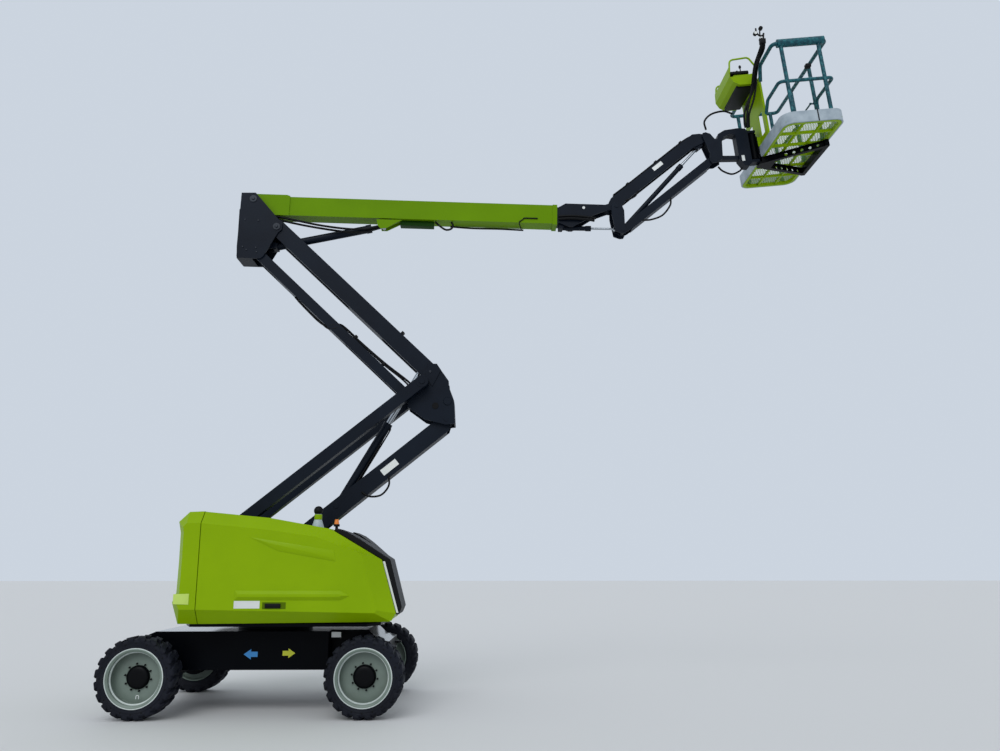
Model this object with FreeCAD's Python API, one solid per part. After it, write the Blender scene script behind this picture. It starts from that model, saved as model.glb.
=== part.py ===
import FreeCAD, Part
import math
import os

# Articulating boom lift, in millimetres.
# X runs from the tail to the platform, Y across the machine, Z up from the floor.
# Places are measured from the slewing axis and moved by slew_x when they are written.

# Place of the slewing axis in the part's own frame
slew_x = -2680

# Wheels and axles
tyre_radius = 424
tyre_width = 310
rim_radius = 300
rim_seat_radius = 282
wheelbase = 2390
overall_width = 2300
hub_radius = 116
disc_out = -16
spindle_radius = 55
kingpin_radius = 28
fork_back = 86
fork_slot = 62
motor_out = 70
axle_z = tyre_radius
wheel_y = (overall_width - tyre_width) / 2
kingpin_y = wheel_y - 180
hub_start_y = wheel_y - 345
flange_y = wheel_y - 165
spindle_start_y = wheel_y - 115
axle_x = wheelbase / 2

# Chassis
chassis_half_width = overall_width / 2 - tyre_width - 150
chassis_nose_half_width = chassis_half_width - 210
chassis_nose_start = 745
chassis_bottom = 455
chassis_end_bottom = 575
chassis_top = 865
chassis_back = -1275
chassis_front = 1390
chassis_wall = 12
axle_gap = 0.4
slew_ring_radius = 430
slew_ring_height = 70
slew_ring_gap = 12
deck_bottom = chassis_top + slew_ring_height
deck_top = deck_bottom + 30

# Turret
hood_side_y = overall_width / 2 - 30
hood_shoulder_y = hood_side_y - 120
hood_inner_y = 410
hood_wall = 25
seam_x = -620
seam_gap = 8
hood_nose_x = 1570
hood_bend_x = 800
far_setback = 190
wall_inner_y = 345
wall_thickness = 15
tail_wall = 20

# Running clearances
pin_gap = 0.3
seat_gap = 0.3
side_gap = 6

# Riser: two parallelograms of arms, joined by a level knuckle
lower_angle = 39.0
lower_length = 2950
lower_foot = (-598, 1929)
lower_pair = (296, -445)
upper_angle = -43.5
upper_length = 2769
knuckle_upper_pin = (92, 148)
upper_pair = (-202, -378)
beam_inner_y = 200
beam_outer_y = 320
beam_half_height = 70
riser_pin_radius = 35
link_pin_radius = 30
cheek_inner_y = 156
cheek_thickness = 16
pair_inner_y = 90
pair_outer_y = 150
upper_half_height = 103
link_half_height = 63
lower_link_y = 112
lower_link_low = -128
lower_link_high = 77
riser_barrel_s = 1254
riser_rod_s = 143
riser_barrel_length = 1190
riser_barrel_radius = 52
riser_rod_radius = 32

# Primary boom and its extension
boom_pin = (-319, 380)
boom_angle = -1.4
boom_half_width = 113
boom_low = -189
boom_high = 66
boom_wall = 6
boom_length = 3950
boom_pin_radius = 35
extension_gap = 12
extension_tail_s = 1300
pad_gap = 0.4
boom_cylinder_base = (-43, -219)
boom_cylinder_eye = (1686, -255)
boom_barrel_length = 1270
boom_barrel_radius = 50
boom_rod_radius = 30

# Jib
nose_pin = (4730, 87)
nose_half_width = 90
jib_angle = 39.7
jib_length = 1605
jib_pair = (80, -330)
jib_half_width = 65
jib_low = -15
jib_high = 138
jib_pin_radius = 25
jib_link_y = 75
jib_link_half_height = 57
level_base = (4000, -205)
level_eye = (-10, -280)
level_barrel_length = 405
jib_cylinder_base = (115, -260)
jib_cylinder_eye = (1456, -39)
jib_barrel_length = 1190
jib_barrel_radius = 32
jib_rod_radius = 18

# Platform: its own frame stands on the middle of the floor, tilted with the jib
platform_centre = (6565, 6970)
platform_tilt = 5.9
floor_length = 1950
floor_width = 800
floor_corner = 150
floor_height = 45
board_height = 150
board_thickness = 22
rail_height = 1130
rail_radius = 25
rail_inset = 53
rotator_x = -460
rotator_radius = 58
flange_half_width = 70
shelf_out = 40
shelf_half_width = 60
platform_swing = 70


def vec(x, y, z):
    return FreeCAD.Vector(x, y, z)


def block(x0, x1, y0, y1, z0, z1):
    return Part.makeBox(x1 - x0, y1 - y0, z1 - z0, vec(x0, y0, z0))


def side_plate(outline, y0, y1):
    """Plate with an XZ outline, standing between two Y planes."""
    points = [vec(x, y0, z) for x, z in outline]
    face = Part.Face(Part.makePolygon(points + [points[0]]))
    return face.extrude(vec(0, y1 - y0, 0))


def plan_plate(outline, z0, z1):
    """Plate with an XY outline, lying between two heights."""
    points = [vec(x, y, z0) for x, y in outline]
    face = Part.Face(Part.makePolygon(points + [points[0]]))
    return face.extrude(vec(0, 0, z1 - z0))


def pin(place, y0, y1, radius):
    """Round bar along Y at an (x, z) place."""
    return Part.makeCylinder(radius, y1 - y0, vec(place[0], y0, place[1]), vec(0, 1, 0))


def bar(start, end, radius):
    """Round bar between two points in space."""
    run = end - start
    return Part.makeCylinder(radius, run.Length, start, run)


def union(shapes):
    joined = shapes[0].multiFuse(shapes[1:])
    return joined.removeSplitter()


def mirrored(shape):
    return shape.mirror(vec(0, 0, 0), vec(0, 1, 0))


def both_sides(shape):
    return [shape, mirrored(shape)]


def on_line(foot, angle):
    """Frame along an arm: gives the (x, z) of a distance s along and h above its pin line."""
    c = math.cos(math.radians(angle))
    s = math.sin(math.radians(angle))

    def at(along, above):
        return (foot[0] + along * c - above * s, foot[1] + along * s + above * c)

    return at


def strip(at, s0, s1, h0, h1, y0, y1):
    """Straight bar of box section, lying along an arm's frame."""
    return side_plate([at(s0, h0), at(s1, h0), at(s1, h1), at(s0, h1)], y0, y1)


def tube(at, s0, s1, h0, h1, y0, y1, wall):
    """Box tube along an arm's frame, open at both ends."""
    outer = strip(at, s0, s1, h0, h1, y0, y1)
    inner = strip(at, s0 - 1, s1 + 1, h0 + wall, h1 - wall, y0 + wall, y1 - wall)
    return outer.cut(inner)


def shifted(point, step):
    return (point[0] + step[0], point[1] + step[1])


def bearing(start, end):
    return math.degrees(math.atan2(end[1] - start[1], end[0] - start[0]))


def distance(start, end):
    return math.hypot(end[0] - start[0], end[1] - start[1])


def box_ring(x0, x1, y0, y1, z0, z1, corner):
    """Rectangular slab with rounded upright corners."""
    slab = block(x0, x1, y0, y1, z0, z1)
    upright = [edge for edge in slab.Edges if abs(edge.Length - (z1 - z0)) < 0.01
               and abs(edge.tangentAt(edge.FirstParameter).z) > 0.9]
    return slab.makeFillet(corner, upright)


def bent_tube(points, radius, bend):
    """Round tube along straight runs, joined by arcs of one bend radius."""
    edges = []
    start = points[0]
    for before, corner, after in zip(points, points[1:], points[2:]):
        incoming = (corner - before).normalize()
        outgoing = (after - corner).normalize()
        half = incoming.getAngle(outgoing) / 2
        reach = bend * math.tan(half)
        first = corner - incoming * reach
        last = corner + outgoing * reach
        bisector = (outgoing - incoming).normalize()
        centre = corner + bisector * (bend / math.cos(half))
        middle = centre - bisector * bend
        edges.append(Part.LineSegment(start, first).toShape())
        edges.append(Part.Arc(first, middle, last).toShape())
        start = last
    edges.append(Part.LineSegment(start, points[-1]).toShape())
    path = Part.Wire(edges)
    run = points[1] - points[0]
    section = Part.Wire(Part.makeCircle(radius, points[0], run))
    return path.makePipeShell([section], True, False)


# Pin places that follow from the driving dimensions
lower_at = on_line(lower_foot, lower_angle)
lower_top = lower_at(lower_length, 0)
link_foot = shifted(lower_foot, lower_pair)
link_at = on_line(link_foot, lower_angle)
link_top = shifted(lower_top, lower_pair)
upper_foot = shifted(lower_top, knuckle_upper_pin)
upper_back = on_line(upper_foot, upper_angle)
upper_top = upper_back(-upper_length, 0)
upper_at = on_line(upper_top, upper_angle)
upper_link_foot = shifted(upper_foot, upper_pair)
upper_link_top = shifted(upper_top, upper_pair)
upper_link_at = on_line(upper_link_top, upper_angle)
riser_barrel_pin = link_at(riser_barrel_s, 0)
riser_rod_pin = upper_back(-riser_rod_s, 0)
boom_foot = shifted(upper_top, boom_pin)
boom_at = on_line(boom_foot, boom_angle)
boom_barrel_pin = shifted(upper_top, boom_cylinder_base)
boom_rod_pin = boom_at(*boom_cylinder_eye)
jib_foot = boom_at(*nose_pin)
jib_at = on_line(jib_foot, jib_angle)
jib_top = jib_at(jib_length, 0)
jib_link_foot = shifted(jib_foot, jib_pair)
jib_link_top = shifted(jib_top, jib_pair)
jib_link_at = on_line(jib_link_foot, jib_angle)
level_barrel_pin = boom_at(*level_base)
level_rod_pin = shifted(jib_foot, level_eye)
jib_barrel_pin = shifted(jib_foot, jib_cylinder_base)
jib_rod_pin = jib_at(*jib_cylinder_eye)


def platform_point(x, z):
    """(x, z) of a point given in the platform's tilted frame."""
    return on_line(platform_centre, platform_tilt)(x, z)


def on_platform(shape):
    """Moves a shape from the platform's own frame to its place on the machine."""
    placed = shape.copy()
    placed.rotate(vec(0, 0, 0), vec(0, 1, 0), -platform_tilt)
    placed.translate(vec(platform_centre[0], 0, platform_centre[1]))
    return placed


def turned(profile, x, side):
    """Ring turned about the wheel axis from (radius, outward distance) points."""
    points = [vec(x, side * (wheel_y + out), axle_z + radius) for radius, out in profile]
    face = Part.Face(Part.makePolygon(points + [points[0]]))
    return face.revolve(vec(x, 0, axle_z), vec(0, 1, 0), 360)


def tyre(x, side):
    half = tyre_width / 2
    profile = [
        (rim_seat_radius, -half + 25),
        (rim_radius + 4, -half + 6),
        (tyre_radius - 70, -half),
        (tyre_radius - 18, -half + 6),
        (tyre_radius, -half + 30),
        (tyre_radius, half - 30),
        (tyre_radius - 18, half - 6),
        (tyre_radius - 70, half),
        (rim_radius + 4, half - 6),
        (rim_seat_radius, half - 25),
    ]
    return turned(profile, x, side)


def rim(x, side):
    half = tyre_width / 2
    seat = rim_seat_radius - pin_gap
    barrel = turned([
        (seat - 12, -half + 20),
        (seat, -half + 20),
        (seat, half - 24),
        (rim_radius, half - 5),
        (rim_radius - 8, half),
        (seat - 12, half - 14),
    ], x, side)
    disc = turned([
        (spindle_radius + pin_gap, disc_out),
        (seat - 6, disc_out),
        (seat - 6, disc_out + 14),
        (190, disc_out + 26),
        (spindle_radius + pin_gap, disc_out + 26),
    ], x, side)
    hub = turned([
        (spindle_radius + pin_gap, disc_out + 20),
        (hub_radius, disc_out + 20),
        (hub_radius, disc_out + 44),
        (hub_radius - 18, disc_out + 59),
        (0, disc_out + 59),
        (0, disc_out + 42),
        (spindle_radius + pin_gap, disc_out + 42),
    ], x, side)
    return union([barrel, disc, hub])


def wheel_pin(x, side, y_start):
    """Spindle from an axle end or a knuckle into the wheel's hub."""
    start = side * y_start
    reach = wheel_y + disc_out + 40 - y_start
    return Part.makeCylinder(spindle_radius, reach, vec(x, start, axle_z), vec(0, side, 0))


def chassis_outline(wall):
    """XZ outline of the chassis, moved inwards by a wall."""
    low = chassis_bottom + wall
    end_low = chassis_end_bottom + wall
    top = chassis_top - wall
    return [
        (chassis_back + wall, end_low),
        (-1010 + wall, end_low),
        (-940 + wall, low),
        (840 - wall, low),
        (910 - wall, end_low),
        (chassis_front - wall, end_low),
        (chassis_front - wall, 735 - wall / 2),
        (1270 - wall, 760 - wall),
        (1150 - wall, top),
        (-1160 + wall, top),
        (chassis_back + 30 + wall, 830 - wall),
        (chassis_back + wall, 770 - wall),
    ]


def chassis_box(wall):
    """Chassis body: full width behind the steered wheels, narrow between them."""
    wide = chassis_half_width - wall
    narrow = chassis_nose_half_width - wall
    body = side_plate(chassis_outline(wall), -wide, wide)
    for side in (-1, 1):
        y0 = min(side * narrow, side * 900)
        body = body.cut(block(chassis_nose_start - wall, 2000, y0, y0 + 900 - narrow, 300, 1000))
    return body


def chassis_shell(x0, x1):
    """Hollow chassis body between two places along the machine."""
    shell = chassis_box(0).cut(chassis_box(chassis_wall))
    return shell.common(block(x0, x1, -1000, 1000, 300, 1000))


def chassis_nose():
    """Narrow front of the chassis between the steered wheels."""
    ties = [tie_plate(chassis_front, side) for side in (-1, 1)]
    return union([chassis_shell(chassis_nose_start, 2000)] + ties)


def chassis_frame():
    ring = Part.makeCylinder(slew_ring_radius, slew_ring_height - slew_ring_gap - pin_gap + 4,
                             vec(0, 0, chassis_top - 4))
    ties = [tie_plate(chassis_back, side) for side in (-1, 1)]
    return union([chassis_shell(-2000, chassis_nose_start), ring] + ties)


tie_height = 655
tie_thickness = 20
tie_reach = 70
tie_y = 330
tie_bore_out = 38
tie_bore_radius = 22


def tie_plate(end_x, side):
    """Level tie-down plate at one end of the chassis, with its upright bore."""
    way = 1 if end_x > 0 else -1
    outline = [
        (end_x - way * 20, side * tie_y - 60), (end_x + way * 30, side * tie_y - 60),
        (end_x + way * tie_reach, side * tie_y - 30), (end_x + way * tie_reach, side * tie_y + 30),
        (end_x + way * 30, side * tie_y + 60), (end_x - way * 20, side * tie_y + 60),
    ]
    plate = plan_plate(outline, tie_height, tie_height + tie_thickness)
    hole = Part.makeCylinder(tie_bore_radius, tie_thickness + 20,
                             vec(end_x + way * tie_bore_out, side * tie_y, tie_height - 10))
    return plate.cut(hole)


def drive_axle():
    beam = block(-axle_x - 80, -axle_x + 80, -hub_start_y - 50, hub_start_y + 50, axle_z - 85, axle_z + 75)
    case = Part.makeCylinder(130, 2 * 300, vec(-axle_x, -300, axle_z), vec(0, 1, 0))
    pads = [block(-axle_x - 110, -axle_x + 110, side * 360 - 60, side * 360 + 60, axle_z,
                  chassis_end_bottom - axle_gap) for side in (-1, 1)]
    parts = [beam, case] + pads
    for side in (-1, 1):
        parts.append(Part.makeCylinder(118, 180, vec(-axle_x, side * hub_start_y, axle_z), vec(0, side, 0)))
        parts.append(Part.makeCylinder(200, 60, vec(-axle_x, side * flange_y, axle_z), vec(0, side, 0)))
        parts.append(wheel_pin(-axle_x, side, spindle_start_y))
    return union(parts)


def steer_axle():
    inner = kingpin_y - fork_back
    beam = block(axle_x - 70, axle_x + 70, -inner - 1, inner + 1, axle_z - 85, axle_z + 25)
    pads = [block(axle_x - 110, axle_x + 110, side * 300 - 60, side * 300 + 60, axle_z,
                  chassis_end_bottom - axle_gap) for side in (-1, 1)]
    ends = []
    for side in (-1, 1):
        y0 = min(side * inner, side * (kingpin_y + 40))
        fork = block(axle_x - 50, axle_x + 50, y0, y0 + fork_back + 40, axle_z - 110, axle_z + 110)
        y1 = min(side * (kingpin_y - fork_slot), side * (kingpin_y + 60))
        slot = block(axle_x - 70, axle_x + 70, y1, y1 + fork_slot + 60, axle_z - 76, axle_z + 76)
        ends.append(fork.cut(slot))
        ends.append(bar(vec(axle_x, side * kingpin_y, axle_z - 112),
                        vec(axle_x, side * kingpin_y, axle_z + 112), kingpin_radius))
    return union([beam] + pads + ends)


def steer_knuckle(side):
    body = block(axle_x - 35, axle_x + 35, -34, motor_out + 1, axle_z - 70, axle_z + 70)
    body.translate(vec(0, kingpin_y, 0))
    motor = Part.makeCylinder(105, 60, vec(axle_x, kingpin_y + motor_out, axle_z), vec(0, 1, 0))
    arm = block(axle_x - 150, axle_x - 34, -18, 18, axle_z - 60, axle_z - 30)
    arm.translate(vec(0, kingpin_y, 0))
    spindle = wheel_pin(axle_x, 1, kingpin_y + 110)
    bore = bar(vec(axle_x, kingpin_y, axle_z - 90), vec(axle_x, kingpin_y, axle_z + 90),
               kingpin_radius + pin_gap)
    knuckle_part = union([body, motor, arm, spindle]).cut(bore)
    return knuckle_part if side > 0 else mirrored(knuckle_part)


# Outlines of the turret's sides, as the silhouette and the crease below it
hood_outline = [
    (seam_x + seam_gap, 965),
    (1460, 985),
    (1508, 1074),
    (1342, 1640),
    (800, 1955),
    (740, 1979),
    (103, 2092),
    (seam_x + seam_gap, 2160),
]
hood_crease = [
    (seam_x + seam_gap, 1120),
    (1290, 1082),
    (1310, 1110),
    (1129, 1705),
    (700, 1862),
    (640, 1885),
    (103, 1960),
    (seam_x + seam_gap, 2030),
]
tail_outline = [
    (seam_x, deck_top + seat_gap),
    (-830, deck_top + seat_gap),
    (-905, 1188),
    (-866, 1295),
    (-863, 1616),
    (-867, 1933),
    (-893, 2049),
    (-782, 2158),
    (seam_x, 2164),
]
tail_crease = [
    (seam_x, 1120),
    (-790, 1120),
    (-825, 1188),
    (-796, 1295),
    (-793, 1616),
    (-796, 1933),
    (-806, 1990),
    (-770, 2030),
    (seam_x, 2034),
]


def ruled_side(outer, crease, y_outer, y_crease):
    """Solid between a silhouette outline and the smaller crease outline on the side face."""
    wires = []
    for outline, y in ((outer, y_outer), (crease, y_crease)):
        points = [vec(x, y, z) for x, z in outline]
        wires.append(Part.makePolygon(points + [points[0]]))
    return Part.makeLoft(wires, True, True)


def scaled_outline(outline, inset, floor):
    """Outline moved inwards by a wall, and cut off flat at its floor."""
    middle_x = sum(x for x, z in outline) / len(outline)
    middle_z = sum(z for x, z in outline) / len(outline)
    moved = []
    for x, z in outline:
        way_x = -inset if x > middle_x else inset
        way_z = -inset if z > middle_z else -inset - floor
        moved.append((x + way_x, z + way_z))
    return moved


def shortened(outline, side):
    """Outline of the far hood: the same one with its front drawn back."""
    if side < 0:
        return outline
    share = 1 - far_setback / (hood_nose_x - hood_bend_x)
    return [(hood_bend_x + (x - hood_bend_x) * share if x > hood_bend_x else x, z) for x, z in outline]


def hood(side):
    outline = shortened(hood_outline, side)
    crease = shortened(hood_crease, side)
    prism = side_plate(outline, -hood_shoulder_y, -hood_inner_y)
    rim_part = ruled_side(outline, crease, -hood_shoulder_y, -hood_side_y)
    body = union([prism, rim_part])
    cavity = scaled_outline(outline, hood_wall, 60)
    cavity_crease = scaled_outline(crease, hood_wall, 200)
    hollow = side_plate(cavity, -hood_shoulder_y + 5, -hood_inner_y + 20)
    hollow_rim = ruled_side(cavity, cavity_crease, -hood_shoulder_y + 6, -hood_side_y + hood_wall)
    body = body.cut(union([hollow, hollow_rim]))
    knuckles = [bar(hood_hinge_point(t0, -1), hood_hinge_point(t1, -1), hinge_barrel_radius)
                for t0, t1 in hinge_spans]
    webs = [hinge_web(t0, t1) for t0, t1 in hinge_spans]
    body = union([body] + knuckles + webs)
    bore = bar(hood_hinge_point(-0.05, -1), hood_hinge_point(1.05, -1), hinge_pin_radius + pin_gap)
    body = body.cut(bore)
    return body if side < 0 else mirrored(body)


# Hood hinge: a line along the inner top edge, with its barrels as shares of the line
hinge_start = (-560, 2146)
hinge_end = (540, 2008)
hinge_y = 388
hinge_barrel_radius = 13
hinge_pin_radius = 7
hinge_spans = [(0.04, 0.16), (0.84, 0.96)]


def hood_hinge_point(share, side):
    x = hinge_start[0] + share * (hinge_end[0] - hinge_start[0])
    z = hinge_start[1] + share * (hinge_end[1] - hinge_start[1])
    return vec(x, side * hinge_y, z)


def hinge_web(t0, t1):
    """Leaf that joins a hinge barrel to the hood's top wall."""
    a = hood_hinge_point(t0, -1)
    b = hood_hinge_point(t1, -1)
    outline = [(a.x, a.z - 4), (b.x, b.z - 4), (b.x, b.z + 9), (a.x, a.z + 9)]
    return side_plate(outline, -hood_inner_y - 12, -hinge_y)


def hinge_carriers():
    """Pins of the hood hinges and the lugs that hold them on the channel wall."""
    parts = []
    for t0, t1 in hinge_spans:
        parts.append(bar(hood_hinge_point(t0 - 0.03, -1), hood_hinge_point(t1 + 0.03, -1), hinge_pin_radius))
        for share in (t0 - 0.022, t1 + 0.022):
            p = hood_hinge_point(share, -1)
            parts.append(block(p.x - 9, p.x + 9, -hinge_y - 9, -wall_inner_y - 2, p.z - 120, p.z + 9))
    return parts


def turret_frame():
    deck = plan_plate([
        (-830, -700), (-700, -1000), (1200, -1000), (1330, -800),
        (1330, 800), (1200, 1000), (-700, 1000), (-830, 700),
    ], deck_bottom, deck_top)
    ring = Part.makeCylinder(slew_ring_radius + 25, slew_ring_gap + 1, vec(0, 0, deck_bottom - slew_ring_gap))
    wall = side_plate([
        (-800, deck_top - 1), (1290, deck_top - 1), (1280, 1330), (1120, 1560),
        (760, 1890), (-560, 2062), (-800, 2062),
    ], -wall_inner_y - wall_thickness, -wall_inner_y)
    foot = side_plate([
        (-800, deck_top - 1), (-200, deck_top - 1), (-500, 2030), (-700, 2030),
    ], -wall_inner_y - 1, -beam_outer_y - side_gap)
    pin_foot = pin(lower_foot, -wall_inner_y - wall_thickness - 20, -beam_inner_y + 4, riser_pin_radius)
    cheek = side_plate([
        (-520, deck_top - 1), (-60, deck_top - 1), (link_foot[0] + 80, link_foot[1] + 70),
        (link_foot[0] - 80, link_foot[1] + 70),
    ], -cheek_inner_y - cheek_thickness, -cheek_inner_y)
    lugs = hinge_carriers()
    side = union([wall, foot, pin_foot, cheek] + lugs)
    cross = pin(link_foot, -cheek_inner_y - cheek_thickness - 12, cheek_inner_y + cheek_thickness + 12,
                link_pin_radius)
    tie_plate = block(-800, -760, -wall_inner_y, wall_inner_y, deck_top - 1, 1500)
    return union([deck, ring, side, mirrored(side), cross, tie_plate])


def tail_cover():
    """Rounded tail: side parts follow the profile, the back bulges between them."""
    back = union([
        side_plate(tail_outline, -hood_shoulder_y, hood_shoulder_y),
        ruled_side(tail_outline, tail_crease, -hood_shoulder_y, -hood_side_y),
        ruled_side(tail_outline, tail_crease, hood_shoulder_y, hood_side_y),
        tail_bulge(0),
    ])
    inside = union([
        side_plate(shrunk_tail(), -hood_shoulder_y + 30, hood_shoulder_y - 30),
        tail_bulge(tail_wall),
    ])
    slot = block(-1400, 0, -wall_inner_y - wall_thickness - 20, wall_inner_y + wall_thickness + 20, 1480, 2300)
    wall_cut = block(-820, 0, -wall_inner_y - 60, wall_inner_y + 60, 900, 2300)
    return back.cut(union([inside, slot, wall_cut]))


tail_floor_top = deck_top + 40


def shrunk_tail():
    return [
        (seam_x + 1, tail_floor_top),
        (-800, tail_floor_top),
        (-872, 1190),
        (-838, 1300),
        (-835, 1616),
        (-838, 1930),
        (-862, 2040),
        (-770, 2130),
        (seam_x + 1, 2134),
    ]


tail_bulge_x = -840
tail_bulge_depth = 150
tail_bulge_crown = 30


def tail_bulge(inset):
    """Shallow boxed bulge of the tail behind its corners, with slanting ends."""
    root = tail_bulge_x + 2.2 * inset
    back = tail_bulge_x - tail_bulge_depth + inset
    outline = [
        (root, -900 + inset), (tail_bulge_x, -900 + inset), (back, -560 + inset),
        (back - tail_bulge_crown, 0),
        (back, 560 - inset), (tail_bulge_x, 900 - inset), (root, 900 - inset),
    ]
    if inset == 0:
        outline = outline[1:-1]
    return plan_plate(outline, 985 + inset, 2060 - inset)


def counterweight():
    """Cast block inside the tail cover."""
    low = tail_floor_top + seat_gap
    body = union([
        block(-798, seam_x - 15, -900, 900, low, 1440),
        plan_plate([(-790, -820), (-940, -530), (-970, 0), (-940, 530), (-790, 820)], low, 1440),
    ])
    return body.cut(block(-830, 0, -wall_inner_y - 50, wall_inner_y + 50, 900, 1600))


# Outer edge of the guard ahead of a hood, and the hood's edge just behind it
guard_outer = [(815, 1986), (945, 1943), (1091, 1864), (1431, 1646), (1570, 1137), (1538, 1057)]
guard_inner = [(805, 1952.8), (1080, 1793), (1342.4, 1640.4), (1425.5, 1357.3), (1508.4, 1074.1), (1500.8, 1060)]
guard_skin = 20
guard_side_y = 965
guard_open_y = 440


def front_guard(side):
    """Black band around one hood's front, hollow behind its skin."""
    outer = shortened(guard_outer, side)
    inner = shortened(guard_inner, side)
    body = side_plate(outer + inner[::-1], -guard_side_y, -guard_open_y)
    skin = [(x - guard_skin, z - guard_skin) for x, z in outer[1:-1]]
    hollow = side_plate(skin + inner[-2:0:-1], -guard_side_y + guard_skin, -guard_open_y - guard_skin)
    body = body.cut(hollow)
    return body if side < 0 else mirrored(body)


def engine_block():
    body = block(-430, 430, 480, 900, deck_top + 30, 1560)
    feet = [block(x, x + 80, 500, hood_shoulder_y - 120, deck_top + pin_gap, deck_top + 31) for x in (-400, 320)]
    return union([body] + feet)


beacon_place = (753, -500, 1958)
post_place = (536, -500, 2004)


def under_hood_skin():
    """Space below the near hood's top, used to cut what stands on it."""
    return side_plate([(x, z + seat_gap) for x, z in hood_outline], -hood_shoulder_y, -hood_inner_y)


def beacon():
    """Amber lamp on a short dark stem on top of the near hood."""
    x, y, z = beacon_place
    stem = Part.makeCylinder(16, 70, vec(x, y, z)).cut(under_hood_skin())
    base = Part.makeCylinder(34, 22, vec(x, y, z + 62))
    lamp = Part.makeCone(30, 22, 58, vec(x, y, z + 83))
    return union([stem, base, lamp])


def signal_post():
    """Pale cone with a round black cap on top of the near hood."""
    x, y, z = post_place
    base = Part.makeCone(72, 45, 90, vec(x, y, z)).cut(under_hood_skin())
    neck = Part.makeCylinder(42, 70, vec(x, y, z + 85))
    cap = Part.makeSphere(52, vec(x, y, z + 195))
    return union([base, neck, cap])


def eye(place, y0, y1, radius):
    """Round bosses on both sides of the middle plane."""
    return both_sides(pin(place, y0, y1, radius))


def lower_arm():
    """Two long box beams, tied at the foot by a torque tube below their pins."""
    beam = tube(lower_at, -40, lower_length + 40, -beam_half_height, beam_half_height,
                beam_inner_y, beam_outer_y, 6)
    lug = side_plate([lower_at(-40, -60), lower_at(70, -60), lower_at(0, -185), lower_at(-60, -185)],
                     beam_inner_y + 15, beam_inner_y + 35)
    parts = both_sides(beam) + both_sides(lug)
    for s in (0, lower_length):
        parts += eye(lower_at(s, 0), beam_inner_y - 3, beam_outer_y + 3, beam_half_height + 5)
    parts.append(pin(lower_at(-30, -150), -beam_inner_y - 34, beam_inner_y + 34, 28))
    arm = union(parts)
    for s in (0, lower_length):
        arm = arm.cut(pin(lower_at(s, 0), -400, 400, riser_pin_radius + pin_gap))
    return arm


def lower_link():
    wall = 12
    end = lower_length
    outline = [
        (-40, -60), (60, lower_link_low), (end - 60, lower_link_low), (end + 40, -60),
        (end + 40, 50), (end, lower_link_high), (0, lower_link_high), (-40, 50),
    ]
    parts = both_sides(side_plate([link_at(*p) for p in outline], lower_link_y - wall, lower_link_y))
    parts.append(strip(link_at, 90, lower_length - 90, lower_link_low, lower_link_low + wall,
                       -lower_link_y + 1, lower_link_y - 1))
    for s in (0, lower_length):
        parts += eye(link_at(s, 0), 60, cheek_inner_y - side_gap, 74)
    parts += eye(riser_barrel_pin, 58, lower_link_y - 1, 60)
    parts.append(pin(riser_barrel_pin, -lower_link_y - 6, lower_link_y + 6, 28))
    link = union(parts)
    for s in (0, lower_length):
        link = link.cut(pin(link_at(s, 0), -300, 300, link_pin_radius + pin_gap))
    return link


def knuckle():
    """Pair of cheek plates that stays level between the two pairs of arms."""
    cheek = side_plate([
        (1512, 3490), (1730, 3333), (1990, 3268), (2103, 3282), (2087, 3571), (2025, 3735),
        (2018, 3818), (1921, 3955), (1867, 4034), (1764, 4034), (1680, 3890), (1525, 3650),
    ], -cheek_inner_y - cheek_thickness, -cheek_inner_y)
    stub = pin(lower_top, -beam_outer_y - 12, -cheek_inner_y - 1, riser_pin_radius)
    collar = pin(lower_top, -beam_inner_y + 4, -cheek_inner_y - 1, riser_pin_radius + 16)
    cap = side_plate([
        (1764, 4034), (1867, 4034), (1921, 3955), (1812, 3745), (1730, 3880),
    ], -cheek_inner_y - cheek_thickness - 14, -cheek_inner_y - cheek_thickness + 1)
    side = union([cheek, stub, collar, cap])
    pins = [
        pin(upper_foot, -cheek_inner_y - 1, cheek_inner_y + 1, riser_pin_radius),
        pin(upper_link_foot, -cheek_inner_y - 14, -pair_inner_y + 4, link_pin_radius),
        pin(upper_link_foot, pair_inner_y - 4, cheek_inner_y + 14, link_pin_radius),
        pin(link_top, -cheek_inner_y - 20, cheek_inner_y + 20, link_pin_radius),
    ]
    web = side_plate([
        (2103, 3282), (2087, 3571), (2025, 3735), (2013, 3733), (2074, 3570), (2090, 3282),
    ], -cheek_inner_y - 1, cheek_inner_y + 1)
    return union([side, mirrored(side), web] + pins)


def arm_pair(at, length, half_height, wall, plates, pin_radii):
    """Two box beams side by side with plates across them and an eye at each end."""
    beam = tube(at, -20, length + 20, -half_height, half_height, pair_inner_y, pair_outer_y, wall)
    parts = both_sides(beam)
    for s in (0, length):
        parts += eye(at(s, 0), pair_inner_y - 2, pair_outer_y + 1, half_height)
    for s0, s1, h0, h1 in plates:
        parts.append(strip(at, s0, s1, h0, h1, -pair_inner_y - 1, pair_inner_y + 1))
    arm = union(parts)
    for s, radius in zip((0, length), pin_radii):
        arm = arm.cut(pin(at(s, 0), -200, 200, radius + pin_gap))
    return arm


def upper_arm():
    h = upper_half_height
    plates = [(1400, 2000, h - 10, h), (1400, 2000, -h, -h + 10)]
    arm = arm_pair(upper_at, upper_length, h, 6, plates, (riser_pin_radius, riser_pin_radius))
    ears = eye(riser_rod_pin, 42, pair_inner_y + 3, 40)
    return union([arm] + ears)


def upper_link():
    h = link_half_height
    plates = [(350, 1600, -h, -h + 8), (350, 1600, h - 8, h)]
    return arm_pair(upper_link_at, upper_length, h, 5, plates, (link_pin_radius, link_pin_radius))


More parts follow.
